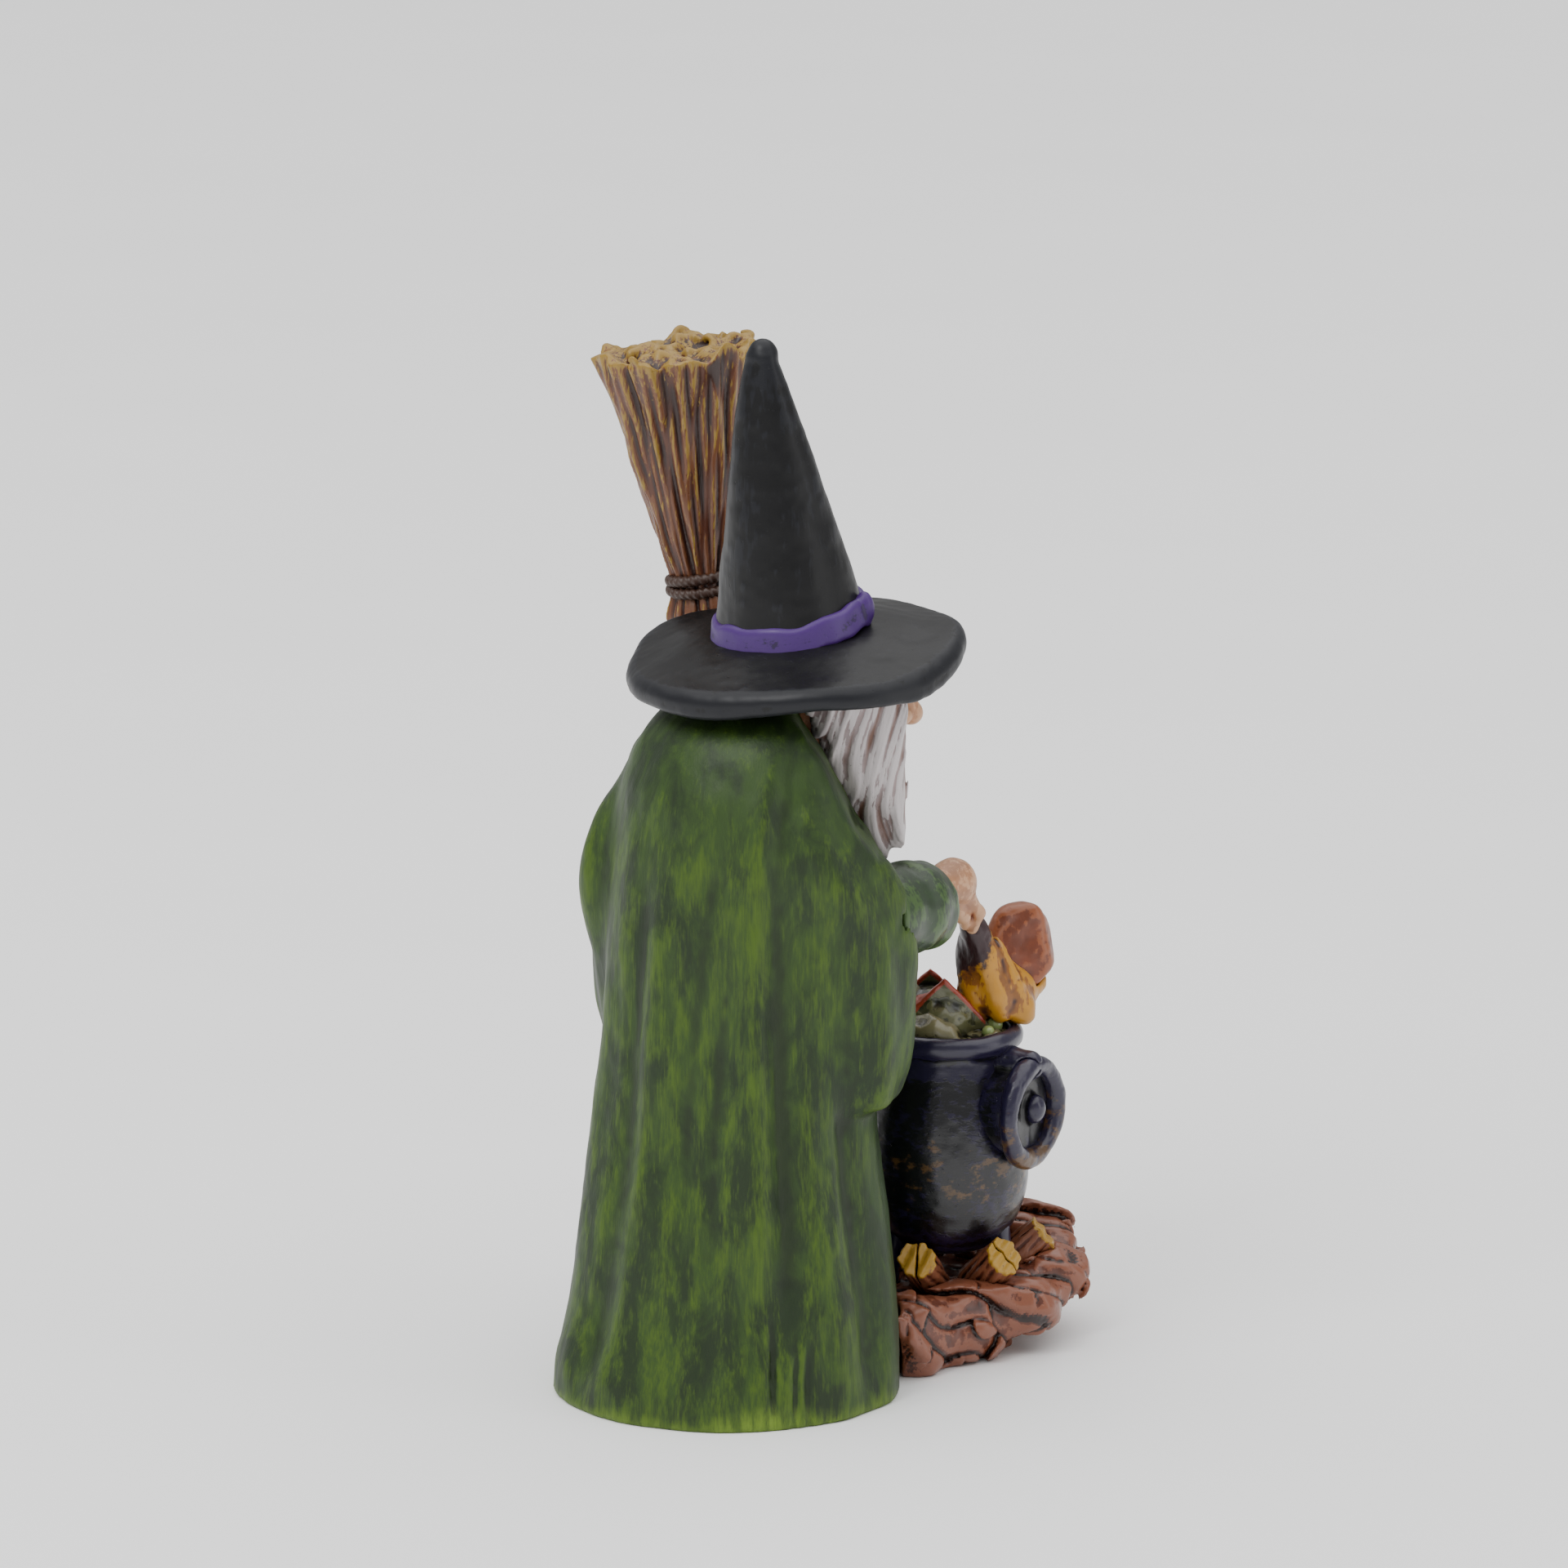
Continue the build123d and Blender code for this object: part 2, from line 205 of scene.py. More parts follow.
def cast(name, g, field, paint, masks=None, form=None):
    """Makes a sculpted field into the piece that stands for the CAD node of that name.

    form is the field to read ridges and creases from, where the piece is cut out of a larger form."""
    grid = vdb.FloatGrid(background=FIELD_LIMIT)
    field = np.array(np.broadcast_to(field, g.shape), dtype=np.float32)
    for axis in range(3):
        edge = [slice(None)] * 3
        for end in (0, -1):
            edge[axis] = end
            field[tuple(edge)] = np.maximum(field[tuple(edge)], g.step)
    grid.copyFromArray(np.clip(field, -FIELD_LIMIT, FIELD_LIMIT), tolerance=0.0)
    grid.transform = vdb.createLinearTransform(voxelSize=g.step)
    points, _, quads = grid.convertToPolygons(isovalue=0.0, adaptivity=0.0)
    points = points.astype(float) + g.low
    quads = quads[:, ::-1].astype(np.int64) if inside_out(points, quads) else quads.astype(np.int64)
    mesh = bpy.data.meshes.new(name)
    mesh.vertices.add(len(points))
    mesh.vertices.foreach_set("co", ((points + HOME) * MM).astype(np.float32).ravel())
    mesh.loops.add(4 * len(quads))
    mesh.loops.foreach_set("vertex_index", quads.astype(np.int32).ravel())
    mesh.polygons.add(len(quads))
    mesh.polygons.foreach_set("loop_start", np.arange(0, 4 * len(quads), 4, dtype=np.int32))
    mesh.polygons.foreach_set("use_smooth", np.ones(len(quads), bool))
    mesh.update(calc_edges=True)
    fine, broad = ridge_masks(g, field if form is None else form, points)
    shown = {"fine": fine, "broad": broad}
    shown.update({key: mask(points) for key, mask in (masks or {}).items()})
    for key, values in shown.items():
        layer = mesh.attributes.new(key, "FLOAT", "POINT")
        layer.data.foreach_set("value", np.asarray(values, np.float32))
    mesh.materials.append(paint)
    piece = bpy.data.objects.new(name, mesh)
    bpy.context.collection.objects.link(piece)
    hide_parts(name)
    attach(piece, "root")


def inside_out(points, quads):
    """Whether the faces look inward, from the signed volume they enclose."""
    a, b, c, d = (points[quads[:, i]] for i in range(4))
    return ((a + c) * np.cross(c - a, d - b)).sum() < 0


# ---------- paint kit

class Paint:
    """A hand-painted resin surface: a node tree built with short calls."""

    def __init__(self, name, roughness=0.55, coat=0.0, specular=0.5):
        self.material = bpy.data.materials.new(name)
        self.material.use_nodes = True
        self.tree = self.material.node_tree
        self.shader = self.tree.nodes["Principled BSDF"]
        self.feed(self.shader, {"Roughness": roughness, "Coat Weight": coat, "Coat Roughness": 0.3,
                                "Specular IOR Level": specular})
        self.place = self.node("ShaderNodeTexCoord").outputs["Object"]

    def node(self, kind, **settings):
        made = self.tree.nodes.new(kind)
        for key, value in settings.items():
            setattr(made, key, value)
        return made

    def feed(self, node, sockets):
        """Gives a node's sockets their plain values or links."""
        for key, value in sockets.items():
            if isinstance(value, bpy.types.NodeSocket):
                self.tree.links.new(value, node.inputs[key])
            else:
                node.inputs[key].default_value = value

    def mask(self, name):
        return self.node("ShaderNodeAttribute", attribute_name=name).outputs["Fac"]

    def noise(self, size, stretch=(1, 1, 1), detail=3.0, rough=0.55, seed=0.0, warp=0.0, turn=(0, 0, 0)):
        """Noise, 0 to 1, with features about size millimetres across."""
        mapping = self.node("ShaderNodeMapping")
        self.feed(mapping, {"Vector": self.place, "Location": (seed, seed * 1.7, seed * 0.6),
                            "Rotation": turn, "Scale": [1 / (size * MM * s) for s in stretch]})
        made = self.node("ShaderNodeTexNoise")
        self.feed(made, {"Vector": mapping.outputs["Vector"], "Scale": 1.0, "Detail": detail,
                         "Roughness": rough, "Distortion": warp})
        return made.outputs["Fac"]

    def math(self, operation, a, b):
        made = self.node("ShaderNodeMath", operation=operation)
        self.feed(made, {0: a, 1: b})
        return made.outputs[0]

    def total(self, *terms):
        """The sum of (value, weight) pairs."""
        parts = [value if weight == 1 else self.math("MULTIPLY", value, weight) for value, weight in terms]
        whole = parts[0]
        for part in parts[1:]:
            whole = self.math("ADD", whole, part)
        return whole

    def ramp(self, value, low, high, to_low=0.0, to_high=1.0):
        """A soft step of value from low to high."""
        made = self.node("ShaderNodeMapRange", interpolation_type="SMOOTHSTEP", clamp=True)
        self.feed(made, {"Value": value, "From Min": low, "From Max": high, "To Min": to_low,
                         "To Max": to_high})
        return made.outputs["Result"]

    def mix(self, factor, a, b):
        made = self.node("ShaderNodeMix", data_type="RGBA")
        a, b = (c if isinstance(c, bpy.types.NodeSocket) else (*c, 1) for c in (a, b))
        self.feed(made, {0: factor, 6: a, 7: b})
        return made.outputs[2]

    def colour(self, value):
        self.feed(self.shader, {"Base Color": value})

    def bump(self, height, depth):
        """A relief of depth millimetres."""
        made = self.node("ShaderNodeBump")
        self.feed(made, {"Strength": 1.0, "Distance": depth * MM, "Height": height})
        self.feed(self.shader, {"Normal": made.outputs["Normal"]})


def srgb(code):
    """A linear colour from a painter's hex code."""
    parts = [int(code[i:i + 2], 16) / 255 for i in (0, 2, 4)]
    return tuple(c / 12.92 if c <= 0.04045 else ((c + 0.055) / 1.055) ** 2.4 for c in parts)


def brushed(name, wash, base, light, streak=0.25, grain=(1, 1, 8), patch=4.0, patch_grain=(1, 1, 1),
            cover=0.5, edge=0.5, crease=0.6, roughness=0.5, coat=0.0, relief=0.02, finish=None,
            specular=0.5, seed=0.0, pores=True):
    """Base coat, dark wash in the creases, and a dry brush of a lighter colour on what stands proud."""
    wash, base, light = srgb(wash), srgb(base), srgb(light)
    p = Paint(name, roughness, coat, specular=specular)
    fine, broad = p.mask("fine"), p.mask("broad")
    mottle = p.noise(patch, patch_grain, detail=4, seed=seed + 3, warp=0.4)
    streaks = p.noise(streak, grain, detail=2, rough=0.6, seed=seed)
    dark = p.ramp(p.total((fine, -crease), (broad, -crease * 0.6)), 0.05, 0.9)
    tone = p.mix(p.ramp(mottle, 0.3, 0.7), [c * 0.78 for c in base], [c * 1.15 for c in base])
    body = p.mix(dark, tone, wash)
    bristle = p.total((streaks, 1), (mottle, 0.9), (fine, edge), (broad, edge * 0.5))
    brush = p.ramp(bristle, 1.28 - cover * 0.5, 1.5 - cover * 0.5)
    painted = p.mix(brush, body, light)
    if finish:
        painted = finish(p, painted)
    p.colour(painted)
    height = p.total((streaks, 1), (brush, 0.6))
    if pores:
        pits = p.ramp(p.noise(0.5, detail=1, seed=seed + 9), 0.22, 0.3)
        height = p.total((height, 1), (pits, 1.2))
    p.bump(height, relief)
    return p.material


def masked(p, below, name, colour, low, high, rag):
    """Paints a masked area in another colour, with a ragged brushed edge."""
    spread = p.math("SUBTRACT", p.noise(0.6, detail=3, seed=5), 0.5)
    ragged = p.total((p.mask(name), 1), (spread, rag))
    return p.mix(p.ramp(ragged, low, high), below, srgb(colour))


# ---------- garment

ROBE_Z = (0, 3, 10, 18, 28, 40, 56, 65, 71, 76, 80)
ROBE_CENTRE_Y = (0, -0.2, -1, -1, -1, -1.5, -2, -2.5, -3, -4, -6)
ROBE_HALF_WIDTH = (20, 19.9, 19.1, 18.0, 16.7, 15.8, 15.4, 15.2, 14, 12.2, 9)
ROBE_HALF_DEPTH = (20, 19.8, 18.6, 17.3, 16.0, 15.2, 14.6, 13.8, 13, 11.2, 8.5)
# Folds: compass angle at the ground, drift of that angle up the robe, depth, width in degrees, from z, to z
FOLDS = [
    (163, 0, -1.1, 7, 12, 74), (178, 0, 0.6, 8, 8, 70), (150, 2, 0.7, 9, 18, 72), (120, 4, -0.7, 6, 14, 66),
    (134, 2, -0.45, 5, 2, 52), (104, 0, 0.6, 9, 0, 60), (88, 4, -0.8, 7, 4, 60), (70, 0, 0.5, 9, 0, 50),
    (52, -4, -0.8, 7, 0, 44), (30, 0, 0.5, 9, 0, 40), (10, 4, -0.8, 7, 0, 44), (-12, 0, 0.5, 8, 0, 44),
    (196, 0, -0.9, 6, 3, 46), (186, 0, 0.4, 6, 0, 30), (212, 2, 0.5, 8, 0, 34), (228, 0, -0.8, 6, 0, 34),
    (-32, 0, -0.8, 7, 0, 50), (-50, 0, 0.6, 8, 0, 50), (-66, 0, -0.7, 6, 0, 56), (-90, 0, -0.9, 3, 6, 64),
    (-114, 0, -0.7, 6, 0, 56), (142, -3, -0.35, 5, 20, 40),
    (160, 0, -1.3, 1.2, 4, 8), (165, 0, -1.1, 1.1, 3, 6), (173, 0, -1.3, 1.4, 3, 5),
]
SLEEVES = {
    "right": dict(z=(34, 38, 45, 53, 62, 70), x=(-11.4, -11.8, -12, -12, -11.5, -9),
                  y=(-8, -8, -8, -8, -5.5, -3.5),
                  a=(5.4, 6.0, 6.4, 6.5, 6, 4.6), b=(6.2, 7.2, 7.6, 7.7, 7.4, 5.5)),
    "left": dict(z=(37, 42, 48, 57, 64, 71), x=(12, 12.6, 13, 13.2, 12, 9), y=(1.5, 1.8, 2, 3, 1.5, -0.5),
                 a=(5, 5.8, 6, 6, 5.8, 4.6), b=(5.6, 6.6, 6.8, 7, 6.8, 5.5)),
}
INNER_SLEEVES = {
    "right": dict(elbow=(-12.2, -11, 55), cuff=(-8.3, -21.8, 54.5), radius=5.3),
    "left": dict(elbow=(14.2, 0, 52), cuff=(18.4, -11.6, 49.4), radius=3.9),
}


def stacked(g, z, x, y, a, b):
    """A smooth form through level ellipses, and the compass angle about its middle."""
    dx = g.x - curve(g.z, z, x)
    dy = g.y - curve(g.z, z, y)
    half_width, half_depth = curve(g.z, z, a), curve(g.z, z, b)
    reach = np.sqrt((dx / half_width) ** 2 + (dy / half_depth) ** 2)
    field = (reach - 1) * np.minimum(half_width, half_depth)
    return field.astype(np.float32), np.degrees(np.arctan2(dy, dx)).astype(np.float32)


def fold_relief(g, angle):
    """Height of the folds at compass angles about the robe."""
    relief = 0
    for at, drift, depth, width, low, high in FOLDS:
        centre = at + drift * g.z / 20 + 2.5 * np.sin(g.z / 11 + at)
        away = (angle - centre + 180) % 360 - 180
        fade = np.clip((g.z - low) / 8 + 0.5, 0, 1) * np.clip((high - g.z) / 10 + 0.5, 0, 1)
        relief = relief + depth * np.exp(-(away / width) ** 2) * fade
    return relief


def skirt(g):
    """The body of the robe with its folds."""
    field, angle = stacked(g, ROBE_Z, [0] * len(ROBE_Z), ROBE_CENTRE_Y, ROBE_HALF_WIDTH, ROBE_HALF_DEPTH)
    return field - fold_relief(g, angle)


def sleeve_form(g, side):
    s = SLEEVES[side]
    field, angle = stacked(g, s["z"], s["x"], s["y"], s["a"], s["b"])
    creases = 0.35 * np.sin(np.radians(angle) * 5 + g.z / 9) * np.clip((s["z"][-1] - g.z) / 10, 0, 1)
    field = meet(field - creases, s["z"][0] - g.z, 1.6)
    return meet(field, g.z - s["z"][-1] - 1, 2.0)


def sleeve_hollow(g, side):
    s = INNER_SLEEVES[side]
    return rod(g, s["elbow"], s["cuff"], s["radius"] * 0.93, s["radius"] + 0.1)


def garment(g):
    """Robe and outer sleeves as one soft form."""
    field = skirt(g)
    for side in SLEEVES:
        field = melt(field, sleeve_form(g, side), 2.4)
    field = field - 0.28 * lumps(g, 11, 6, (1, 1, 1.8)) - 0.1 * lumps(g, 12, 2.2, (1, 1, 2.4))
    field = field - 0.05 * lumps(g, 13, 0.9, (1, 1, 1.6))
    field = meet(field, -g.z, 0.6)
    return meet(field, g.z - 79.2, 3)


def sleeve_region(g, side):
    """Where the cloth belongs to a sleeve and not to the body of the robe."""
    s = SLEEVES[side]
    sign = -1 if side == "right" else 1
    level = np.maximum(s["z"][0] - 1.5 - g.z, g.z - s["z"][-1] + 3)
    return np.maximum(10.2 - sign * g.x, level)


def face_opening(g):
    """Negative in front of the hood's edge, which runs down and forward from under the hat."""
    forward = 0.574 * np.abs(g.x) - 0.819 * g.y
    edge = curve(g.z, (60, 63.5, 65, 69.3, 71.5, 74, 77, 82), (18.5, 16.3, 15.0, 12.9, 11.8, 10.6, 8.4, 6.0))
    return np.maximum(edge - forward, np.maximum(g.y + 3, 62.5 - g.z))


def robe_masks():
    """Where the hem wash is, where painted shade leaves the robe's lower front plain and dark, and where its
    shoulders are.
    """
    def hem(p):
        turn = np.degrees(np.arctan2(p[:, 1], p[:, 0])) - 145
        wave = 0.4 + 0.8 * np.sin(np.radians(turn * 3 + 40)) + 0.5 * np.sin(np.radians(turn * 7))
        return np.clip((wave + 1.6 - p[:, 2]) / 2.2, 0, 1)

    # Painted shade, low on the front side of the robe.
    def shade(p):
        turn = np.degrees(np.arctan2(p[:, 1], p[:, 0])) % 360
        return np.clip((turn - 206) / 14, 0, 1) * (turn < 300) * np.clip((36 - p[:, 2]) / 10, 0, 1)

    def shoulder(p):
        return np.clip((p[:, 2] - 62) / 10, 0, 1)
    return {"hem": hem, "shade": shade, "shoulder": shoulder}


def make_robe():
    green = robe_paint()
    g = Block((-22, -22, -1), (22, 22, 82), 0.36)
    form = garment(g)
    body = form
    for side in SLEEVES:
        depth = np.clip(-sleeve_region(g, side), 0, 2)
        body = body + 0.2 * depth ** 2
        body = cut(body, sleeve_hollow(g, side), 0.4)
    for side in (-1, 1):
        body = cut(body, hair_form(g, side) - 0.15, 0.5)
    body = cut(body, head_form(g) - 0.2, 0.4)
    body = cut(body, face_opening(g), 1.0)
    cast("robe", g, body, green, robe_masks(), form)
    for side in SLEEVES:
        beyond = sleeve_region(g, side)
        sleeve = np.maximum(form + 0.2 * np.clip(beyond, 0, 3) ** 2, beyond - 2.2)
        sleeve = cut(sleeve, sleeve_hollow(g, side), 0.8)
        sleeve = cut(sleeve, face_opening(g), 1.0)
        cast(side + "_outer_sleeve", g, sleeve, green, robe_masks(), form)


def robe_paint():
    """Dark green with yellow-green rubbed down the folds."""
    p = Paint("robe_green", roughness=0.52, specular=0.35, coat=0.03)
    fine, broad = p.mask("fine"), p.mask("broad")
    patches = p.noise(3.8, (1, 1, 2.4), detail=5, rough=0.6, seed=1.0, warp=0.5)
    smears = p.noise(0.9, (1, 1, 5), detail=4, rough=0.65, seed=2.0)
    hairs = p.noise(0.22, (1, 1, 14), detail=1, seed=3.0)
    dark, middle, light = srgb("1b2b10"), srgb("2b4213"), srgb("435c0d")
    base = p.mix(p.ramp(patches, 0.36, 0.62), dark, middle)
    # Less dry brush on the shoulders and in the painted shade low on the front.
    rub = p.total((patches, 0.65), (smears, 0.9), (hairs, 0.4), (fine, 0.13), (broad, 0.13),
                  (p.mask("shoulder"), -0.2), (p.mask("shade"), -0.2))
    base = p.mix(p.ramp(rub, 0.9, 1.35, 0.0, 0.9), base, light)
    crease = p.total((fine, -0.5), (broad, -0.5))
    base = p.mix(p.ramp(crease, 0.1, 0.8, 0.0, 0.7), base, srgb("16200d"))
    # Painted shade: the lower front side of the robe is darkened.
    base = p.mix(p.math("MULTIPLY", p.mask("shade"), 0.6), base, srgb("24361a"))
    hem = p.math("MULTIPLY", p.mask("hem"), p.ramp(smears, 0.35, 0.7, 0.1, 0.7))
    p.colour(p.mix(hem, base, srgb("74902a")))
    p.bump(p.total((smears, 1), (hairs, 0.5)), 0.05)
    return p.material


def make_inner_sleeves():
    dark = brushed(
        "sleeve_green", "0c140a", "22351a", "3c5626", streak=0.4, grain=(1, 1, 4), patch=3.0, cover=0.3,
        crease=0.7, roughness=0.4, coat=0.15, relief=0.015, seed=2.0)
    for side, s in INNER_SLEEVES.items():
        g = block_about(s["elbow"], s["cuff"], 8, 0.18)
        u, v, w = g.tilted(s["elbow"], np.subtract(s["cuff"], s["elbow"]))
        length = np.linalg.norm(np.subtract(s["cuff"], s["elbow"]))
        round_it = np.arctan2(v, u)
        wrinkle = 0.35 * np.sin(w * 1.25 + 1.3 * np.sin(round_it + 0.7)) * np.clip(w / length, 0.2, 1)
        tube = np.sqrt(u * u + v * v) - s["radius"] * (0.93 + 0.07 * w / length) - wrinkle
        tube = meet(meet(tube, w - length, 2.6), -w, 0.5)
        tube = cut(tube, np.sqrt(u * u + v * v + (w - length - 1.2) ** 2) - s["radius"] * 0.62, 0.6)
        tube = tube - 0.06 * lumps(g, 21, 1.1)
        cast(side + "_inner_sleeve", g, tube, dark)


# ---------- hat

BRIM_CENTRE = (0.6, -9.2, 86.1)
HAT_AXIS = (-0.025, 0.139, 0.99)
BRIM_RADIUS = 19.0
CROWN_HEIGHT = 34.0
TIP_HEIGHT = 31.9
CROWN_PROFILE = ((-2, 0, 6, 14, 22, 29, 32.2), (8.9, 8.5, 7.5, 5.8, 4.1, 2.4, 1.5))


def crown_radius(w):
    return curve(w, *CROWN_PROFILE)


def make_hat():
    black = brushed(
        "hat_black", "030304", "08080a", "15161b", streak=0.8, grain=(1, 1, 5), patch=5, cover=0.25,
        crease=0.4, roughness=0.42, relief=0.012, seed=4.0, specular=0.32)
    purple = brushed(
        "band_purple", "12061c", "2c1448", "43206a", streak=0.5, grain=(1, 1, 0.6), patch=2.5, cover=0.35,
        crease=0.5, roughness=0.42, relief=0.012, seed=5.0)
    g = Block((-21, -31, 76), (21, 11, 92), 0.22)
    r, turn, w = g.around(BRIM_CENTRE, HAT_AXIS)
    edge = BRIM_RADIUS + 0.35 * np.sin(2 * turn + 0.6) + 0.2 * np.sin(5 * turn)
    out = np.clip((r - 9) / 10, 0, 1.2)
    dip = np.clip((r - 8) / 8, 0, 1)
    curl = 0.5 * np.sin(3 * turn + 1.1) + 0.3 * np.sin(5 * turn + 0.4)
    sag = -0.9 * dip * dip * (3 - 2 * dip) - 1.5 * out ** 1.6 + out ** 2 * curl
    half = 1.45 + 0.15 * np.sin(4 * turn)
    across, up = r - edge + 1.4, np.abs(w - sag + half) - (half - 1.3)
    outside = np.sqrt(np.maximum(across, 0) ** 2 + np.maximum(up, 0) ** 2)
    brim = outside + np.minimum(np.maximum(across, up), 0) - 1.3
    brim = brim - 0.12 * lumps(g, 31, 3.4) - 0.04 * lumps(g, 32, 1.1)
    cast("hat_brim", g, brim, black)

    g = Block((-11, -21, 84), (11, 3, 122), 0.2)
    u, v, w = g.tilted(BRIM_CENTRE, HAT_AXIS)
    bend = 0.5 * np.sin(w / CROWN_HEIGHT * 3.1)
    r, turn = np.sqrt((u + bend * 0.5) ** 2 + (v - bend) ** 2), np.arctan2(v, u)
    crown = r - crown_radius(w) - 0.14 * np.sin(3 * turn + w / 6)
    crown = crown - 0.1 * lumps(g, 33, 3) - 0.035 * lumps(g, 34, 1)
    tip = np.sqrt(u ** 2 + v ** 2 + (w - TIP_HEIGHT) ** 2) - 1.6
    crown = melt(meet(crown, w - TIP_HEIGHT, 0.5), tip, 0.8)
    crown = meet(crown, -w - 0.2, 0.3)
    cast("hat_crown", g, crown, black)

    g = Block((-12, -22, 83), (12, 2, 93), 0.16)
    u, v, w = g.tilted(BRIM_CENTRE, HAT_AXIS)
    r, turn = np.sqrt(u * u + v * v), np.arctan2(v, u)
    wave = 0.18 * np.sin(4 * turn + 0.5) + 0.12 * np.sin(9 * turn)
    tilt = 0.07 * ((g.x - BRIM_CENTRE[0]) * ACROSS[0] + (g.y - BRIM_CENTRE[1]) * ACROSS[1])
    thick = np.abs(r - crown_radius(w)) - 0.6 - 0.06 * np.sin(6 * turn)
    band = meet(thick, np.abs(w - 1.0 - tilt - wave) - 1.7, 0.8)
    knot = ball_at(u, v, w, (8.6 * math.cos(3.9), 8.6 * math.sin(3.9), 1.9), (1.1, 1.1, 1.9))
    band = melt(band, knot, 0.5) - 0.05 * lumps(g, 35, 1.3)
    cast("hat_band", g, band, purple)


def ball_at(u, v, w, centre, radii):
    """A ball in tilted coordinates."""
    near = np.sqrt(sum(((c - o) / r) ** 2 for c, o, r in zip((u, v, w), centre, radii)))
    return (near - 1) * min(radii)


# ---------- head and hair

HEAD_CENTRE = (0, -13.5, 75.5)
EYE_X, EYE_Z = 2.6, 77.6
MOUTH_Z = 70.9
HAIR_Z = (59.5, 62, 65, 71, 77, 83)
HAIR_X = (5.5, 5.5, 5.6, 6.0, 6.2, 6.0)
HAIR_Y = (-17.6, -17.3, -16.8, -14.7, -13.2, -12.0)
HAIR_HALF_WIDTH = (1.4, 2.6, 3.4, 4.0, 4.2, 4.0)
HAIR_HALF_DEPTH = (1.2, 2.4, 3.2, 4.9, 6.0, 6.6)


def head_form(g):
    skull = melt(ball(g, HEAD_CENTRE, (6.6, 7.6, 9.5)), ball(g, (0, -17.5, 71.5), (4.8, 4.4, 5.0)), 2.5)
    nose = chain(g, [(0, -20.2, 78.6), (0, -23.6, 76.4), (0, -25.2, 74.4)], [1.0, 1.35, 1.45], 1.0)
    wing = (1.0, 1.3, 1.0)
    wings = melt(ball(g, (-1.3, -23.0, 74.4), wing), ball(g, (1.3, -23.0, 74.4), wing), 0.6)
    face = melt(skull, melt(nose, wings, 0.8), 1.0)
    face = melt(face, ball(g, (0, -21.2, 67.9), (1.8, 1.9, 1.7)), 1.4)
    for side in (-1, 1):
        face = melt(face, ball(g, (side * 3.4, -19.4, 73.6), (2.0, 1.9, 1.9)), 1.4)
        face = melt(face, rod(g, (side * 1.2, -21.0, 79.6), (side * 4.2, -19.6, 79.9), 0.7, 0.55), 0.9)
        face = cut(face, ball(g, (side * EYE_X, -21.3, EYE_Z + 0.1), (1.5, 1.1, 1.0)), 0.7)
        face = melt(face, ball(g, (side * EYE_X, -20.1, EYE_Z), (1.2, 0.9, 0.8)), 0.25)
    mouth = rod(g, (-1.9, -21.9, MOUTH_Z), (1.9, -21.9, MOUTH_Z), 0.28, 0.28)
    face = melt(face, rod(g, (-1.4, -21.4, 71.5), (1.4, -21.4, 71.5), 0.55, 0.55), 0.6)
    face = melt(face, rod(g, (-1.2, -21.3, 70.2), (1.2, -21.3, 70.2), 0.6, 0.6), 0.6)
    return cut(face, mouth, 0.35)


def hair_form(g, side):
    field, _ = stacked(g, HAIR_Z, [side * x for x in HAIR_X], HAIR_Y, HAIR_HALF_WIDTH, HAIR_HALF_DEPTH)
    return meet(field, HAIR_Z[0] - g.z, 1.0)


def eye_mask(half_width, half_height):
    """Both eyes, as seen from in front."""
    def mask(p):
        reach = ((np.abs(p[:, 0]) - EYE_X) / half_width) ** 2 + ((p[:, 2] - EYE_Z) / half_height) ** 2
        return (p[:, 1] < -19.5) * np.clip(1.5 - reach, 0, 1)
    return mask


def lip_mask(p):
    reach = (p[:, 0] / 2.0) ** 2 + ((p[:, 2] - MOUTH_Z) / 0.9) ** 2
    return (p[:, 1] < -20.5) * np.clip(1.5 - reach, 0, 1)


def face_paint(p, below):
    """Plain painted eyes and lips."""
    lips = p.mix(p.math("MULTIPLY", p.mask("lips"), 0.5), below, srgb("7c3c30"))
    whites = p.mix(p.ramp(p.mask("eye_white"), 0.4, 0.6), lips, srgb("a89c8c"))
    return p.mix(p.ramp(p.mask("pupil"), 0.4, 0.6), whites, srgb("0e0906"))


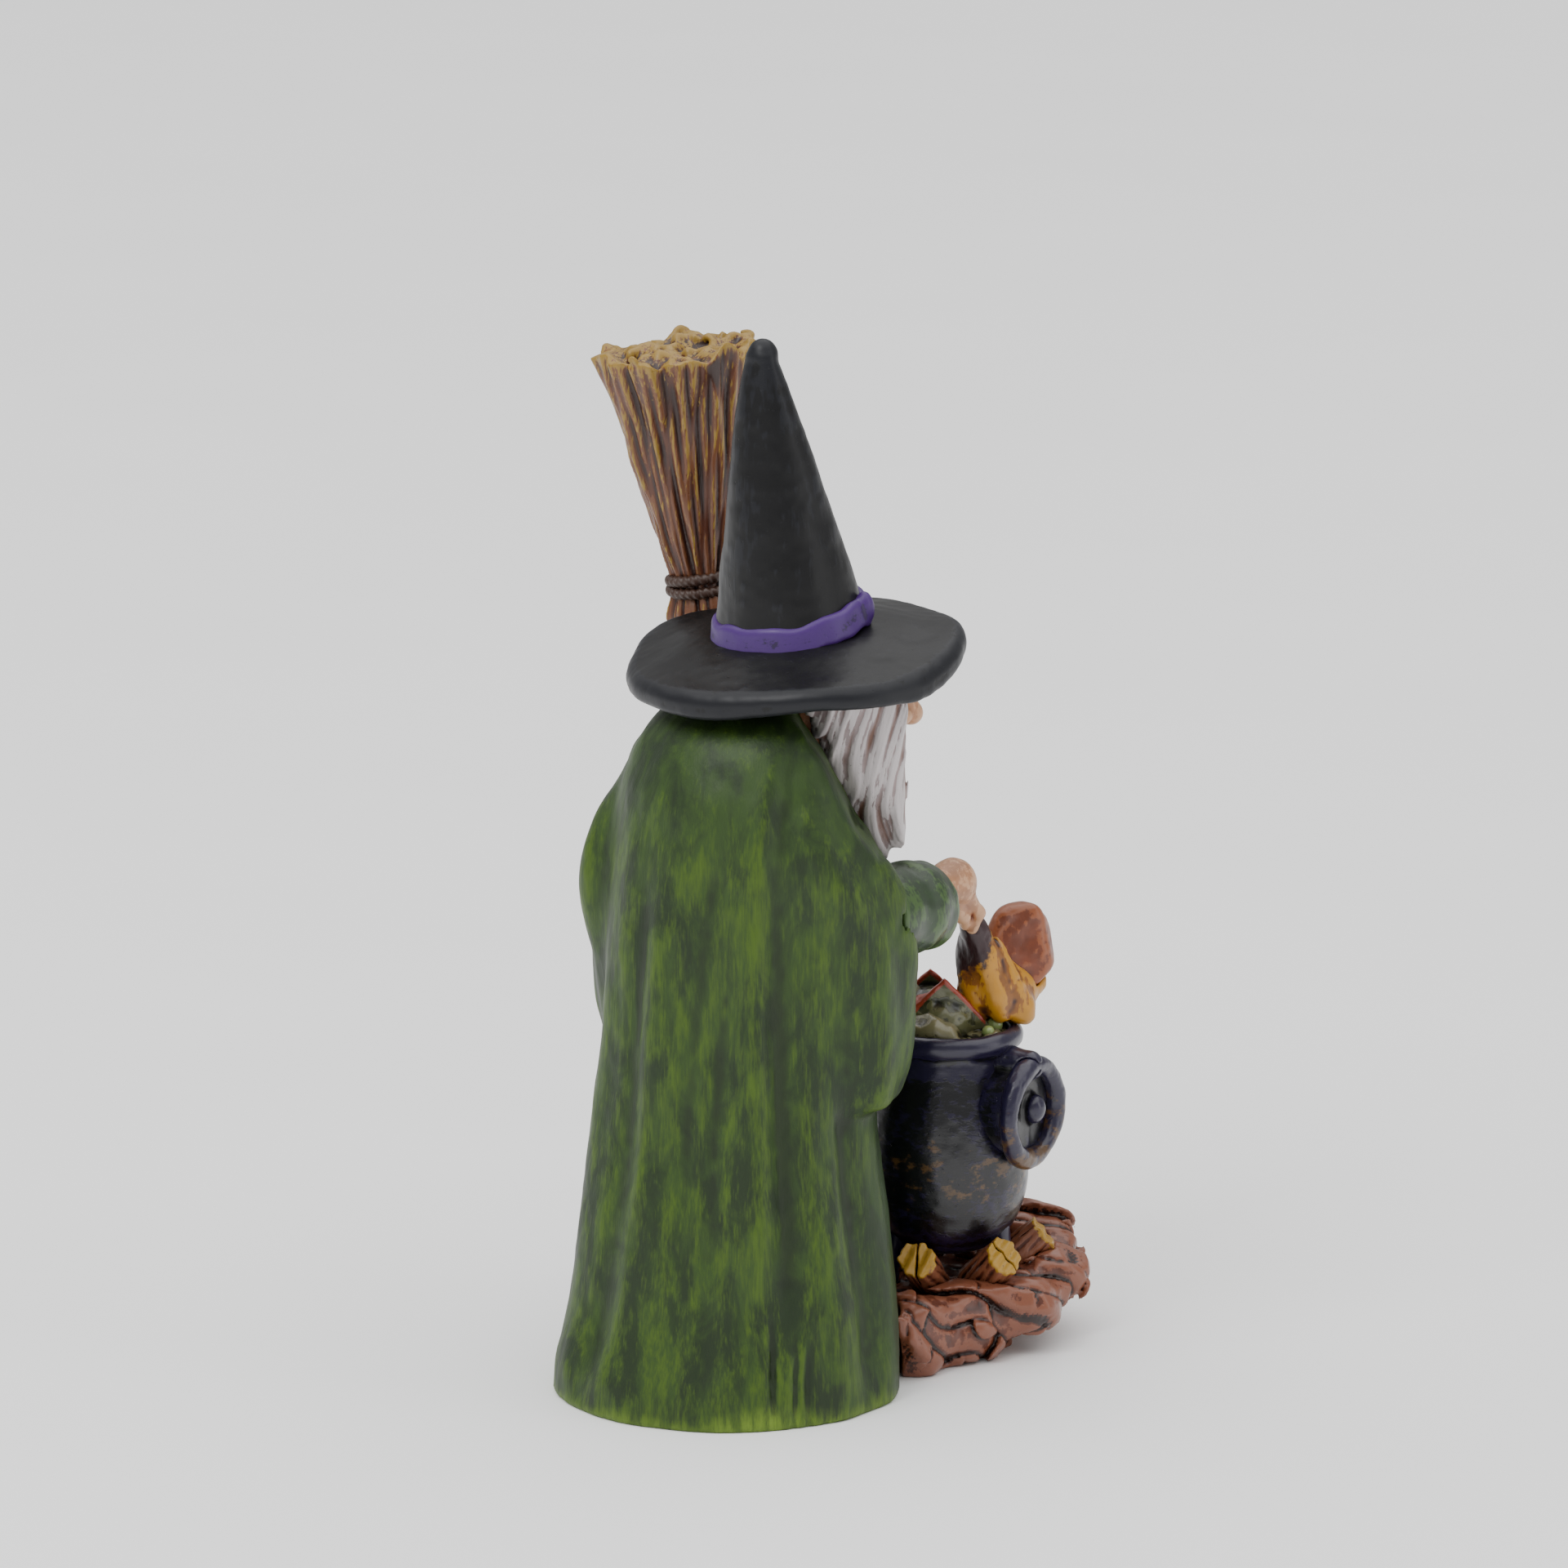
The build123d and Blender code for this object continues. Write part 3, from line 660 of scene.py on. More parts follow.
def make_head():
    skin = brushed(
        "skin_peach", "6e3418", "b07c58", "c89a76", streak=0.5, grain=(1, 1, 1.5), patch=2.4, cover=0.45,
        edge=0.2, crease=0.4, roughness=0.42, coat=0.1, relief=0.012, seed=6.0, finish=face_paint)
    white = brushed(
        "hair_white", "7a5a4c", "a09090", "c4bcbc", streak=0.28, grain=(1, 1, 9), patch=2.0,
        patch_grain=(1, 1, 2), cover=1.0, crease=0.34, relief=0.04, seed=7.0)
    g = Block((-9, -28, 63), (9, -4, 86), 0.16)
    face = head_form(g) - 0.04 * lumps(g, 41, 1.2)
    face = meet(face, side_of(g, (0, -10, 83.4), HAT_AXIS), 0.3)
    features = {"eye_white": eye_mask(0.95, 0.5), "pupil": eye_mask(0.4, 0.42), "lips": lip_mask}
    cast("head", g, face, skin, features)
    for side, name in ((-1, "hair_right"), (1, "hair_left")):
        g = Block((min(side * 1, side * 12), -23, 58), (max(side * 1, side * 12), -3, 85), 0.14)
        field = hair_form(g, side)
        sway = 0.25 * (g.z - 70) * np.sin(g.z / 9 + side)
        sweep = g.y + 14 + 0.9 * lumps(g, 45, 4, (1, 1, 2.5)) + sway + 0.6 * g.x
        strands = (0.24 * np.sin(sweep * 2.2 + 0.8 * np.sin(g.z / 3.1))
                   + 0.08 * np.sin(sweep * 4.9 + g.z / 2.7)
                   + 0.04 * np.sin(sweep * 11 + g.x * 3 + g.z / 1.6))
        strands = strands * (0.75 + 0.5 * lumps(g, 42, 3, (1, 1, 2)))
        field = field - strands - 0.3 * lumps(g, 43, 1.8, (1, 1, 3)) - 0.1 * lumps(g, 44, 0.8, (1, 1, 3))
        field = meet(field, side_of(g, (0, -10, 83.6), HAT_AXIS), 0.3)
        field = meet(field, 59.6 + 1.5 * np.abs(np.sin(sweep * 1.3 + 1)) - g.z, 0.5)
        field = cut(field, head_form(g) - 0.05, 0.3)
        cast(name, g, field, white)


# ---------- hands

def make_hands():
    skin = bpy.data.materials["skin_peach"]
    g = Block((-12, -34, 46), (0, -19, 61), 0.12)
    hand = chain(g, [(-7.9, -22.4, 55.6), (-6.4, -26.6, 55.8), (-5.2, -28.2, 53.2)], [2.2, 2.35, 2.0], 1.4)
    for i in range(4):
        knuckle = (-6.6 + 0.95 * i, -28.6 - 0.35 * i, 53.6 - 0.1 * i)
        joint = (-6.2 + 0.75 * i, -30.3 - 0.3 * i, 51.6)
        tip = (-5.2 + 0.5 * i, -30.2 - 0.25 * i, 49.6 + 0.1 * i)
        hand = melt(hand, chain(g, [knuckle, joint, tip], [0.85, 0.78, 0.66], 0.4), 0.45)
    thumb = chain(g, [(-6.9, -26.2, 53.4), (-6.4, -27.9, 51.6), (-5.2, -29.3, 50.2)], [0.95, 0.85, 0.7], 0.4)
    hand = melt(hand, thumb, 0.5) - 0.03 * lumps(g, 51, 0.9)
    cast("right_hand", g, hand, skin)

    low, high = (np.array(corner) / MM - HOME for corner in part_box("left_hand"))
    middle = (low + high) / 2
    g = Block(low - 1.5, high + 1.5, 0.12)
    along = unit(BROOM_DIR)
    fist = ball(g, middle + (-0.4, 0.6, 0), (2.4, 2.3, 3.0))
    for i in range(4):
        level = middle + along * (1.9 - 1.25 * i)
        start, far, back = level + (1.4, 1.6, 0), level + (1.8, -1.6, -0.1), level + (-0.9, -2.2, -0.2)
        fist = melt(fist, chain(g, [start, far, back], [0.75, 0.75, 0.65], 0.3), 0.3)
    thumb = rod(g, middle + (-1.8, 1.2, 1.2), middle + (-2.0, -1.0, 1.9), 0.85, 0.7)
    fist = melt(fist, thumb, 0.4)
    cast("left_hand", g, fist - 0.03 * lumps(g, 52, 0.9), skin)


# ---------- broom

BROOM_DIR = (2.6, 2.1, 31)
BROOM_BUTT = (22.9, -13.1, 80.4)
CORD_RADIUS = 3.45
BRISTLE_W = (0, 1.2, 2.8, 6.5, 10, 14, 20, 27, 31, 34.5)
BRISTLE_R = (2.6, 3.5, 3.9, 3.2, 3.9, 4.8, 6.1, 7.5, 8.5, 9.4)


def broom_point(w):
    return np.array(BROOM_BUTT) + unit(BROOM_DIR) * w


def straw_gold(p, below):
    """Yellow rubbed along the tops of the strands, thicker towards the chopped end."""
    lines = p.noise(0.3, (1, 1, 18), detail=2, rough=0.6, seed=40, turn=(0.07, -0.08, 0))
    amount = p.total((lines, 1), (p.mask("tips"), 0.42), (p.mask("fine"), 0.05))
    return p.mix(p.ramp(amount, 0.68, 0.84, 0.0, 0.9), below, srgb("94762a"))


def make_broom():
    straw = brushed(
        "broom_straw", "2c140b", "532b17", "6b4024", streak=0.3, grain=(1, 1, 12), patch=2.6,
        patch_grain=(1, 1, 3), cover=0.3, crease=0.35, roughness=0.42, coat=0.1, relief=0.03, seed=8.0,
        finish=straw_gold)
    twine = brushed(
        "twine_brown", "0c0604", "22130f", "3c271d", streak=0.3, patch=1.5, cover=0.3, edge=0.8,
        crease=1.0, roughness=0.45, seed=9.0)
    stick = brushed(
        "stick_black", "0a0708", "231a1c", "4a3840", streak=0.3, grain=(1, 1, 10), patch=3, cover=0.3,
        edge=0.6, crease=0.7, roughness=0.4, seed=10.0)
    g = Block((17, -25, 78), (37, 0, 118), 0.17)
    r, turn, w = g.around(BROOM_BUTT, BROOM_DIR)
    swell = curve(w, BRISTLE_W, BRISTLE_R)
    wander = 0.25 * np.sin(w / 5 + 2 * turn)
    strands = (0.6 * np.sin(turn * 13 + wander * 4) + 0.4 * np.sin(turn * 22 + w / 4 + 1.3)
               + 0.25 * np.sin(turn * 37 - w / 5.5) + 0.4 * np.sin(turn * 7 + w / 6))
    depth = 0.08 + 0.06 * swell / 4
    field = r - swell - strands * depth * 2.2
    field = field - 0.3 * lumps(g, 61, 2.6, (1, 1, 4)) - 0.12 * lumps(g, 62, 0.9, (1, 1, 4))
    chop = 33.9 + 1.3 * lumps(g, 63, 2.6) + 0.9 * lumps(g, 64, 1.2) - 0.05 * r
    field = meet(field, w - chop, 0.35)
    field = meet(field, -w + 0.4 * lumps(g, 65, 1.2), 0.6)
    field = cut(field, np.abs(r - 3.4) - 0.15 + 0.6 * np.abs(w - 6.65), 0.5)

    def tips(points):
        along = (points - BROOM_BUTT) @ unit(BROOM_DIR)
        return 0.35 * np.clip((along - 9) / 18, 0, 1) + 0.35 * np.clip((along - 31.5) / 2.5, 0, 1)

    cast("broom_bristles", g, field, straw, {"tips": tips})
    for name, at, seed in (("broom_cord_lower", 6.0, 1), ("broom_cord_upper", 7.3, 2)):
        g = Block((17, -19, 83), (30, -6, 92), 0.12)
        r, turn, w = g.around(broom_point(at), BROOM_DIR)
        level = w - 0.22 * np.sin(turn + seed * 2.1)
        cord = np.sqrt((r - CORD_RADIUS) ** 2 + level ** 2) - 0.62
        twist = np.sin(turn * 30 + np.arctan2(level, r - CORD_RADIUS) * 2)
        cast(name, g, cord - 0.07 * twist - 0.06 * lumps(g, 66 + seed, 0.8), twine)
    foot, head = broom_point((4.0 - BROOM_BUTT[2]) / unit(BROOM_DIR)[2]), broom_point(8)
    g = block_about(foot, head, 3, 0.2)
    r, turn, w = g.around(foot, BROOM_DIR)
    pole = r - 1.38 - 0.07 * np.sin(3 * turn + w / 8)
    pole = pole - 0.08 * lumps(g, 69, 2.5, (1, 1, 3))
    reach = np.linalg.norm(head - foot)
    cast("broom_handle", g, meet(meet(pole, w - reach, 0.4), -w, 0.4), stick)


# ---------- cauldron

POT_Z = (10.6, 11.2, 13, 16.2, 21.5, 27, 31.6, 34.2)
POT_R = (3.2, 4.8, 7.0, 8.7, 9.5, 9.2, 8.1, 7.5)
POT_MOUTH, POT_LIP = 6.9, 7.7
RING_ANGLES = {"right": 204, "left": 24}
RING_Z, RING_OFFSET, RING_RADIUS, RING_THICKNESS = 28.4, 11.2, 5.4, 1.15
LUG_Z, BOSS_RADIUS = 33.8, 5.2
FOOT_ANGLES = {"back": 83, "right": 209, "left": 320}


def around_pot(angle, radius, height):
    turn = math.radians(angle)
    x = POT_CENTRE[0] + radius * math.cos(turn)
    y = POT_CENTRE[1] + radius * math.sin(turn)
    return np.array((x, y, height))


def from_pot_axis(g):
    return np.sqrt((g.x - POT_CENTRE[0]) ** 2 + (g.y - POT_CENTRE[1]) ** 2)


def pot_form(g):
    """The belly, the rolled lip and the hollow for the brew."""
    r = from_pot_axis(g)
    wall = meet(r - curve(g.z, POT_Z, POT_R), 10.9 - g.z, 1.2)
    wall = meet(wall, g.z - 36, 0.4)
    lip = np.sqrt((r - POT_LIP) ** 2 + ((g.z - 36.2) * 0.85) ** 2) - 1.05
    return cut(melt(wall, lip, 0.5), np.maximum(r - POT_MOUTH, 33 - g.z), 0.5)


def even(amount):
    """A mask that is the same everywhere."""
    return lambda points: np.full(len(points), amount)


def make_cauldron():
    black = brushed(
        "pot_black", "020203", "09080e", "1b1530", streak=0.4, grain=(2.4, 2.4, 1), patch=3.4, cover=0.45,
        edge=0.45, crease=0.4, roughness=0.3, coat=0.25, seed=11.0, finish=pot_rust)
    g = Block((-11, -42, 9.5), (11, -19, 38.6), 0.2)
    pot = pot_form(g) - 0.12 * lumps(g, 71, 3.2) - 0.035 * lumps(g, 72, 0.9)
    cast("cauldron_pot", g, pot, black, {"rust": pot_rust_mask})
    for side, angle in RING_ANGLES.items():
        out = around_pot(angle, 1, 0) - around_pot(angle, 0, 0)
        middle = around_pot(angle, RING_OFFSET, RING_Z)
        g = Block(middle - 8.5, middle + 8.5, 0.14)
        r, turn, w = g.around(middle, out)
        ring = np.sqrt((r - RING_RADIUS) ** 2 + w * w) - RING_THICKNESS - 0.1 * np.sin(turn * 3)
        ring = ring - 0.08 * lumps(g, 73, 1.4) - 0.03 * lumps(g, 74, 0.5)
        cast("cauldron_ring_" + side, g, ring, black,
             {"rust": lambda p: 0.6 - 0.22 * (p[:, 2] - RING_Z) / RING_RADIUS})
        lug = rod(g, around_pot(angle, 7.6, LUG_Z), around_pot(angle, RING_OFFSET - 0.4, LUG_Z), 2.0, 1.7)
        lug = cut(lug, ring, 0.25)
        boss = rod(g, around_pot(angle, 7.8, RING_Z), around_pot(angle, RING_OFFSET - 1.2, RING_Z),
                   BOSS_RADIUS, BOSS_RADIUS)
        knob = ball(g, around_pot(angle, RING_OFFSET + 0.1, RING_Z + 0.4), (1.5, 1.5, 1.7))
        boss = melt(meet(boss, w + 0.4, 0.3), knob, 0.8)
        lug = melt(lug, boss, 0.5) - 0.06 * lumps(g, 75, 1.0)
        cast("cauldron_lug_" + side, g, lug, black, {"rust": even(0.2)})
    for side, angle in FOOT_ANGLES.items():
        top, toe = around_pot(angle, 6.4, 14.0), around_pot(angle, 7.6, 8.0)
        g = block_about(top, toe, 3, 0.14)
        foot = melt(rod(g, top, toe, 1.5, 0.95), ball(g, toe + (0, 0, 0.2), (1.3, 1.3, 0.9)), 0.5)
        foot = foot - 0.05 * lumps(g, 76, 0.9)
        cast("cauldron_foot_" + side, g, foot, black, {"rust": even(0.2)})


def pot_rust_mask(points):
    """Ochre dry brush low on the belly."""
    return np.clip(0.72 - np.abs(points[:, 2] - 21) / 18, 0, 0.62)


def pot_rust(p, below):
    """Ochre and orange rubbed over the black."""
    spread = p.math("SUBTRACT", p.noise(1.6, (1.6, 1.6, 1), 4, 0.65, seed=20), 0.5)
    patches = p.total((p.mask("rust"), 1), (spread, 1.6))
    return p.mix(p.ramp(patches, 0.66, 0.85, 0.0, 0.8), below, srgb("5e4424"))


# ---------- what is in the pot

# The toad's jaws as middle and top, and the beads as middle and radius
JAWS = [((-2.6, -28.2), 43.6), ((3.4, -30.6), 43.2)]
BEADS = [((-3.9, -34.4, 37.4), 0.95), ((-5.5, -32.3, 37.2), 0.75),
         ((4.2, -34.2, 37.3), 1.0), ((5.4, -29.6, 37.2), 0.8)]


def make_contents():
    olive = brushed(
        "brew_olive", "1c180c", "4e4a2e", "757050", streak=0.5, grain=(1, 1, 1), patch=1.4, cover=0.4,
        edge=0.8, crease=1.0, roughness=0.25, coat=0.4, relief=0.04, seed=12.0)
    toad_skin = brushed(
        "toad_olive", "16170b", "3a3c24", "5c5c3c", streak=0.4, grain=(1, 1, 1), patch=1.2, cover=0.4,
        edge=0.8, crease=1.0, roughness=0.3, coat=0.3, relief=0.03, seed=13.0,
        finish=lambda p, below: masked(p, below, "lip", "983a26", 0.45, 0.6, 0.2))
    bead = brushed(
        "bubble_green", "2c3c1a", "5e7238", "93a564", streak=0.4, patch=1.0, grain=(1, 1, 1), cover=0.4,
        edge=0.4, crease=0.5, roughness=0.12, coat=0.6, relief=0.006, seed=14.0, pores=False)
    g = Block((-8, -39, 32), (8, -22, 42), 0.14)
    r = from_pot_axis(g)
    level = 36.9 + 0.5 * lumps(g, 81, 2.2) + 0.3 * lumps(g, 82, 1.0) + 0.16 * lumps(g, 83, 0.5)
    heap = ball(g, (-1.5, -26.6, 36.5), (4.6, 3.4, 3.2)) - 0.35 * lumps(g, 84, 1.3)
    brew = meet(melt(np.maximum(r - 7.1, 0) + g.z - level, heap, 0.8), r - 6.95, 0.3)
    cast("brew", g, np.maximum(brew, 32.6 - g.z), olive)

    g = Block((-7, -37, 35), (8, -22, 47), 0.11)
    head = ball(g, (0.4, -29.0, 38.4), (5.0, 4.2, 3.2))
    near_jaw, far_jaw = [flap(g, *jaw) for jaw in JAWS]
    eye = ball(g, (2.0, -27.0, 41.0), (1.1, 1.1, 1.1))
    toad = melt(melt(head, near_jaw, 0.6), melt(far_jaw, eye, 0.4), 0.5) - 0.1 * lumps(g, 85, 0.8)
    cast("brew_toad", g, toad, toad_skin, {"lip": jaw_rims})
    g = Block((-8, -38, 35.5), (8, -26, 39), 0.1)
    field = 9.0
    for middle, radius in BEADS:
        field = np.minimum(field, ball(g, middle, (radius, radius, radius)))
    cast("brew_bubbles", g, field, bead)


def jaw_lines(x, y, middle, top):
    """Distances across the view and away from the camera, and how high the jaw's rim is there."""
    across = (x - middle[0]) * ACROSS[0] + (y - middle[1]) * ACROSS[1]
    deep = (x - middle[0]) * AWAY[0] + (y - middle[1]) * AWAY[1]
    return across, deep, top - 0.9 * np.abs(across) - 0.05 * across ** 2


def flap(g, middle, top):
    """A peaked jaw, curved like a petal, standing across the view."""
    across, deep, rim = jaw_lines(g.x, g.y, middle, top)
    sheet = np.abs(deep - 0.06 * across ** 2 + 0.18 * (g.z - 41)) - 0.42
    return meet(meet(sheet, g.z - rim, 0.3), 37 - g.z, 0.3)


def jaw_rims(points):
    """Where the rim of either jaw is near."""
    near = 0
    for jaw in JAWS:
        _, deep, rim = jaw_lines(points[:, 0], points[:, 1], *jaw)
        near = np.maximum(near, np.clip(1.2 - (rim - points[:, 2]), 0, 1) * (np.abs(deep) < 1.6))
    return near


def make_ingredients():
    ochre = brushed(
        "pouch_ochre", "3a1a10", "8a5416", "b8801c", streak=0.3, grain=(1, 1, 5), patch=2.2, cover=0.55,
        crease=0.7, roughness=0.42, coat=0.1, seed=15.0,
        # The dark on the neck and by the sleeve is painted shade.
        finish=lambda p, below: masked(p, below, "painted_shade", "2e1418", 0.45, 0.75, 0.8))
    russet = brushed(
        "lump_russet", "35130a", "74371c", "90502e", streak=0.6, grain=(1, 1, 1.5), patch=2.8, cover=0.35,
        roughness=0.36, coat=0.15, relief=0.012, seed=16.0)
    g = Block((-9, -44, 35), (6, -27, 52), 0.14)
    body = chain(g, [(-3.8, -30.2, 50.4), (-3.6, -31.6, 48.6), (-3.1, -33.0, 45.4), (-2.6, -34.6, 41.6),
                     (-2.2, -36.6, 38.9)], [0.8, 1.3, 2.3, 3.3, 3.9], 2.0)
    spread = rod(g, (-2.2, -37.6, 40.2), (-1.2, -41.4, 41.0), 3.0, 1.6)
    sack = melt(body, spread, 1.8)
    sack = meet(sack, side_of(g, (-2, -37, 37.5), (0, 0.12, -1)), 0.8)
    turn = np.arctan2(g.y + 35, g.x + 2.6)
    sack = sack - 0.22 * np.sin(turn * 6 + g.z / 2.4)
    sack = sack - 0.16 * lumps(g, 91, 1.6, (1, 1, 2)) - 0.05 * lumps(g, 92, 0.6)
    lump = lump_form(g)
    sack = cut(sack, lump - 0.05, 0.4)
    # The pouch carries a mask of painted shade on its neck and by the sleeve.
    cast("ingredient_pouch", g, sack, ochre, {"painted_shade": pouch_painted_shade})
    g = Block((-8, -47, 37), (6, -34, 53), 0.14)
    cast("ingredient_lump", g, lump_form(g), russet)


def pouch_painted_shade(points):
    """Painted shade: the neck, where the hand holds it, and the side by the sleeve are dark."""
    forward = -points[:, 1] - 33.2
    return np.clip(0.36 + 0.16 * (points[:, 2] - 46.5) - 0.28 * forward, 0, 1)


def lump_form(g):
    lump = ball(g, (-0.9, -40.6, 45.2), (4.1, 4.7, 5.9))
    lump = meet(lump, side_of(g, (-3.3, -41.4, 45.0), (-0.93, 0.25, 0.12)), 0.8)
    lump = meet(lump, side_of(g, (-2.0, -38.2, 48.2), (-0.6, 0.6, 0.6)), 0.8)
    for point, normal in (((0, -44.3, 46), (0.1, -1, 0.1)), ((-0.9, -40.6, 50.3), (0.1, 0.1, 1)),
                          ((-2.6, -43.2, 46), (-0.75, -0.62, 0.2)), ((0, -43, 49), (0, -0.7, 0.7)),
                          ((2.4, -41, 45), (1, 0, 0.1)), ((-1, -42.6, 41.6), (-0.1, -0.6, -0.8))):
        lump = meet(lump, side_of(g, point, normal), 0.9)
    return lump - 0.14 * lumps(g, 93, 2.4) - 0.05 * lumps(g, 94, 0.8)


# ---------- ground and firewood

LOG_ANGLES = [127, 180, 238, 291, 350, 40]
LOG_RADIUS = 2.15


def log_ends(angle):
    return around_pot(angle, 5.2, 7.6), around_pot(angle, 11.4, 12.4)


def log_form(g, angle, seed):
    inner, outer = log_ends(angle)
    u, v, w = g.tilted(inner, outer - inner)
    turn = np.arctan2(v, u)
    bark = 0.09 * np.sin(turn * 7 + seed) + 0.07 * np.sin(turn * 13 + w) + 0.14 * np.sin(turn * 2 + seed)
    field = np.sqrt(u * u + v * v) - LOG_RADIUS - bark
    field = meet(field, w - np.linalg.norm(outer - inner) - 0.15 * np.sin(u * 3 + v * 2), 0.25)
    split = np.abs(u * math.cos(seed) + v * math.sin(seed)) - 0.12 + 0.25 * np.maximum(5.5 - w, 0)
    return meet(cut(field, split, 0.15), -w, 0.4)


def make_firewood():
    wood = brushed(
        "log_brown", "1e0b06", "5a2c1a", "7c4a32", streak=0.4, patch=2.0, cover=0.4, edge=0.7, crease=0.9,
        roughness=0.38, coat=0.15, relief=0.03, seed=17.0,
        finish=lambda p, below: masked(p, below, "end", "a67e22", 0.55, 0.75, 1.3))
    for number, angle in enumerate(LOG_ANGLES, start=1):
        inner, outer = log_ends(angle)
        g = block_about(inner, outer, 3, 0.14)
        along, length = unit(outer - inner), np.linalg.norm(outer - inner)
        log = log_form(g, angle, number) - 0.05 * lumps(g, 100 + number, 0.7)

        def end(p):
            return np.clip(((p - inner) @ along - length + 1.2) / 1.2, 0, 1)

        cast(f"firewood_log_{number}", g, log, wood, {"end": end})


def make_rock():
    brown = brushed(
        "rock_brown", "24100a", "5e2e1c", "814c36", streak=0.5, grain=(1, 1, 1), patch=3.0, cover=0.4,
        edge=0.45, crease=0.5, roughness=0.34, coat=0.2, seed=18.0)
    g = Block((-16, -51, -0.6), (25, -5, 15), 0.25)
    flank = ground_side(g)
    top = 8.2 + 0.5 * lumps(g, 111, 5) + 0.25 * lumps(g, 112, 1.6)
    rock = meet(flank, g.z - top, 1.0)
    for centre, radii in BOULDERS:
        stone = ball(g, centre, radii) - 0.35 * lumps(g, int(abs(centre[0] * 7 + centre[1] * 3)) + 120, 2.8)
        rock = melt(rock, stone, 2.2)
    rock = rock - slabs(g, 113, (15, 9, 2.8), 1.25) - 0.3 * lumps(g, 114, 4)
    rock = rock - 0.12 * lumps(g, 115, 1.5) - 0.04 * lumps(g, 116, 0.6)
    rock = meet(rock, -g.z, 0.3)
    rock = cut(rock, skirt(g) - 0.05, 0.3)
    for number, angle in enumerate(LOG_ANGLES, start=1):
        rock = cut(rock, log_form(g, angle, number) - 0.05, 0.3)
    pit = ball(g, (*POT_CENTRE, 13.0), (8.0, 8.0, 5.0))
    rock = cut(rock, pit, 0.8)
    cast("rock_base", g, rock, brown)


def slabs(g, seed, bed, lift):
    """Broken rock in tilted beds: flats at different heights with cracks between them."""
    rng = np.random.default_rng(seed)
    u, v, w = g.tilted((0, 0, 0), (0.35, -0.45, 0.82))
    bend = lumps(g, seed + 1, 6)
    layer = w / bed[2] + 0.7 * bend
    rows = np.floor(layer)
    spots = [u / bed[0] + 0.37 * rows + 0.5 * bend, v / bed[1] + 0.61 * rows - 0.6 * bend, layer]
    cells = [np.floor(spot).astype(int) for spot in spots]
    inside = [spot - cell for spot, cell in zip(spots, cells)]
    table = rng.uniform(-1, 1, (4, 32, 32, 32)).astype(np.float32)
    rise, *tilt = (part[tuple(cell % 32 for cell in cells)] for part in table)
    height = 0.5 * rise + sum(0.45 * t * (f - 0.5) for t, f in zip(tilt, inside))
    border = np.minimum.reduce([np.minimum(f, 1 - f) * size for f, size in zip(inside, bed)])
    return (lift * (height - 0.25 * np.clip(1 - border / 0.5, 0, 1))).astype(np.float32)


BOULDERS = [
    ((-9.5, -19.5, 4.2), (3.6, 4.6, 4.6)), ((-9.4, -27.0, 3.6), (3.6, 4.8, 4.2)),
    ((-9.6, -34.0, 5.6), (4.4, 4.6, 3.4)), ((-5.5, -40.5, 7.4), (5.0, 4.6, 3.6)),
    ((0.5, -44.4, 9.6), (5.4, 3.6, 3.2)), ((3.0, -41.8, 10.4), (4.6, 2.6, 2.4)),
    ((7.0, -41.6, 7.6), (5.0, 4.6, 3.8)), ((12.4, -33.0, 5.4), (4.2, 5.0, 4.0)),
    ((16.6, -24.6, 4.0), (5.0, 4.6, 3.8)), ((19.0, -17.6, 3.4), (4.0, 4.2, 3.4)),
    ((14.6, -17.0, 3.0), (4.4, 4.0, 3.6)),
]
GROUND_ANGLES = (-180, -150, -125, -100, -75, -50, -25, 0, 30, 60, 120, 150, 180)
GROUND_REACH = (10.5, 12.5, 12.5, 15.0, 15.5, 13.5, 15.5, 20.0, 24.0, 20.0, 19.0, 14.0, 10.5)


def ground_side(g):
    """The leaning flank of the ground about a point between pot and robe."""
    dx, dy = g.x - 1, g.y + 27
    turn = np.degrees(np.arctan2(dy, dx))
    reach = curve(turn, GROUND_ANGLES, GROUND_REACH) + (g.z - 4) * 0.28
    return (np.sqrt(dx * dx + dy * dy) - reach) * 0.9


# ---------- stage

VIEW_AZIMUTH, VIEW_ELEVATION = 235, 13
VIEW_WIDTH = 174.7
VIEW_DISTANCE = 950
VIEW_CENTRE = (-3.66, -5.22, 69.4)
FLOOR_REACH = 3.0


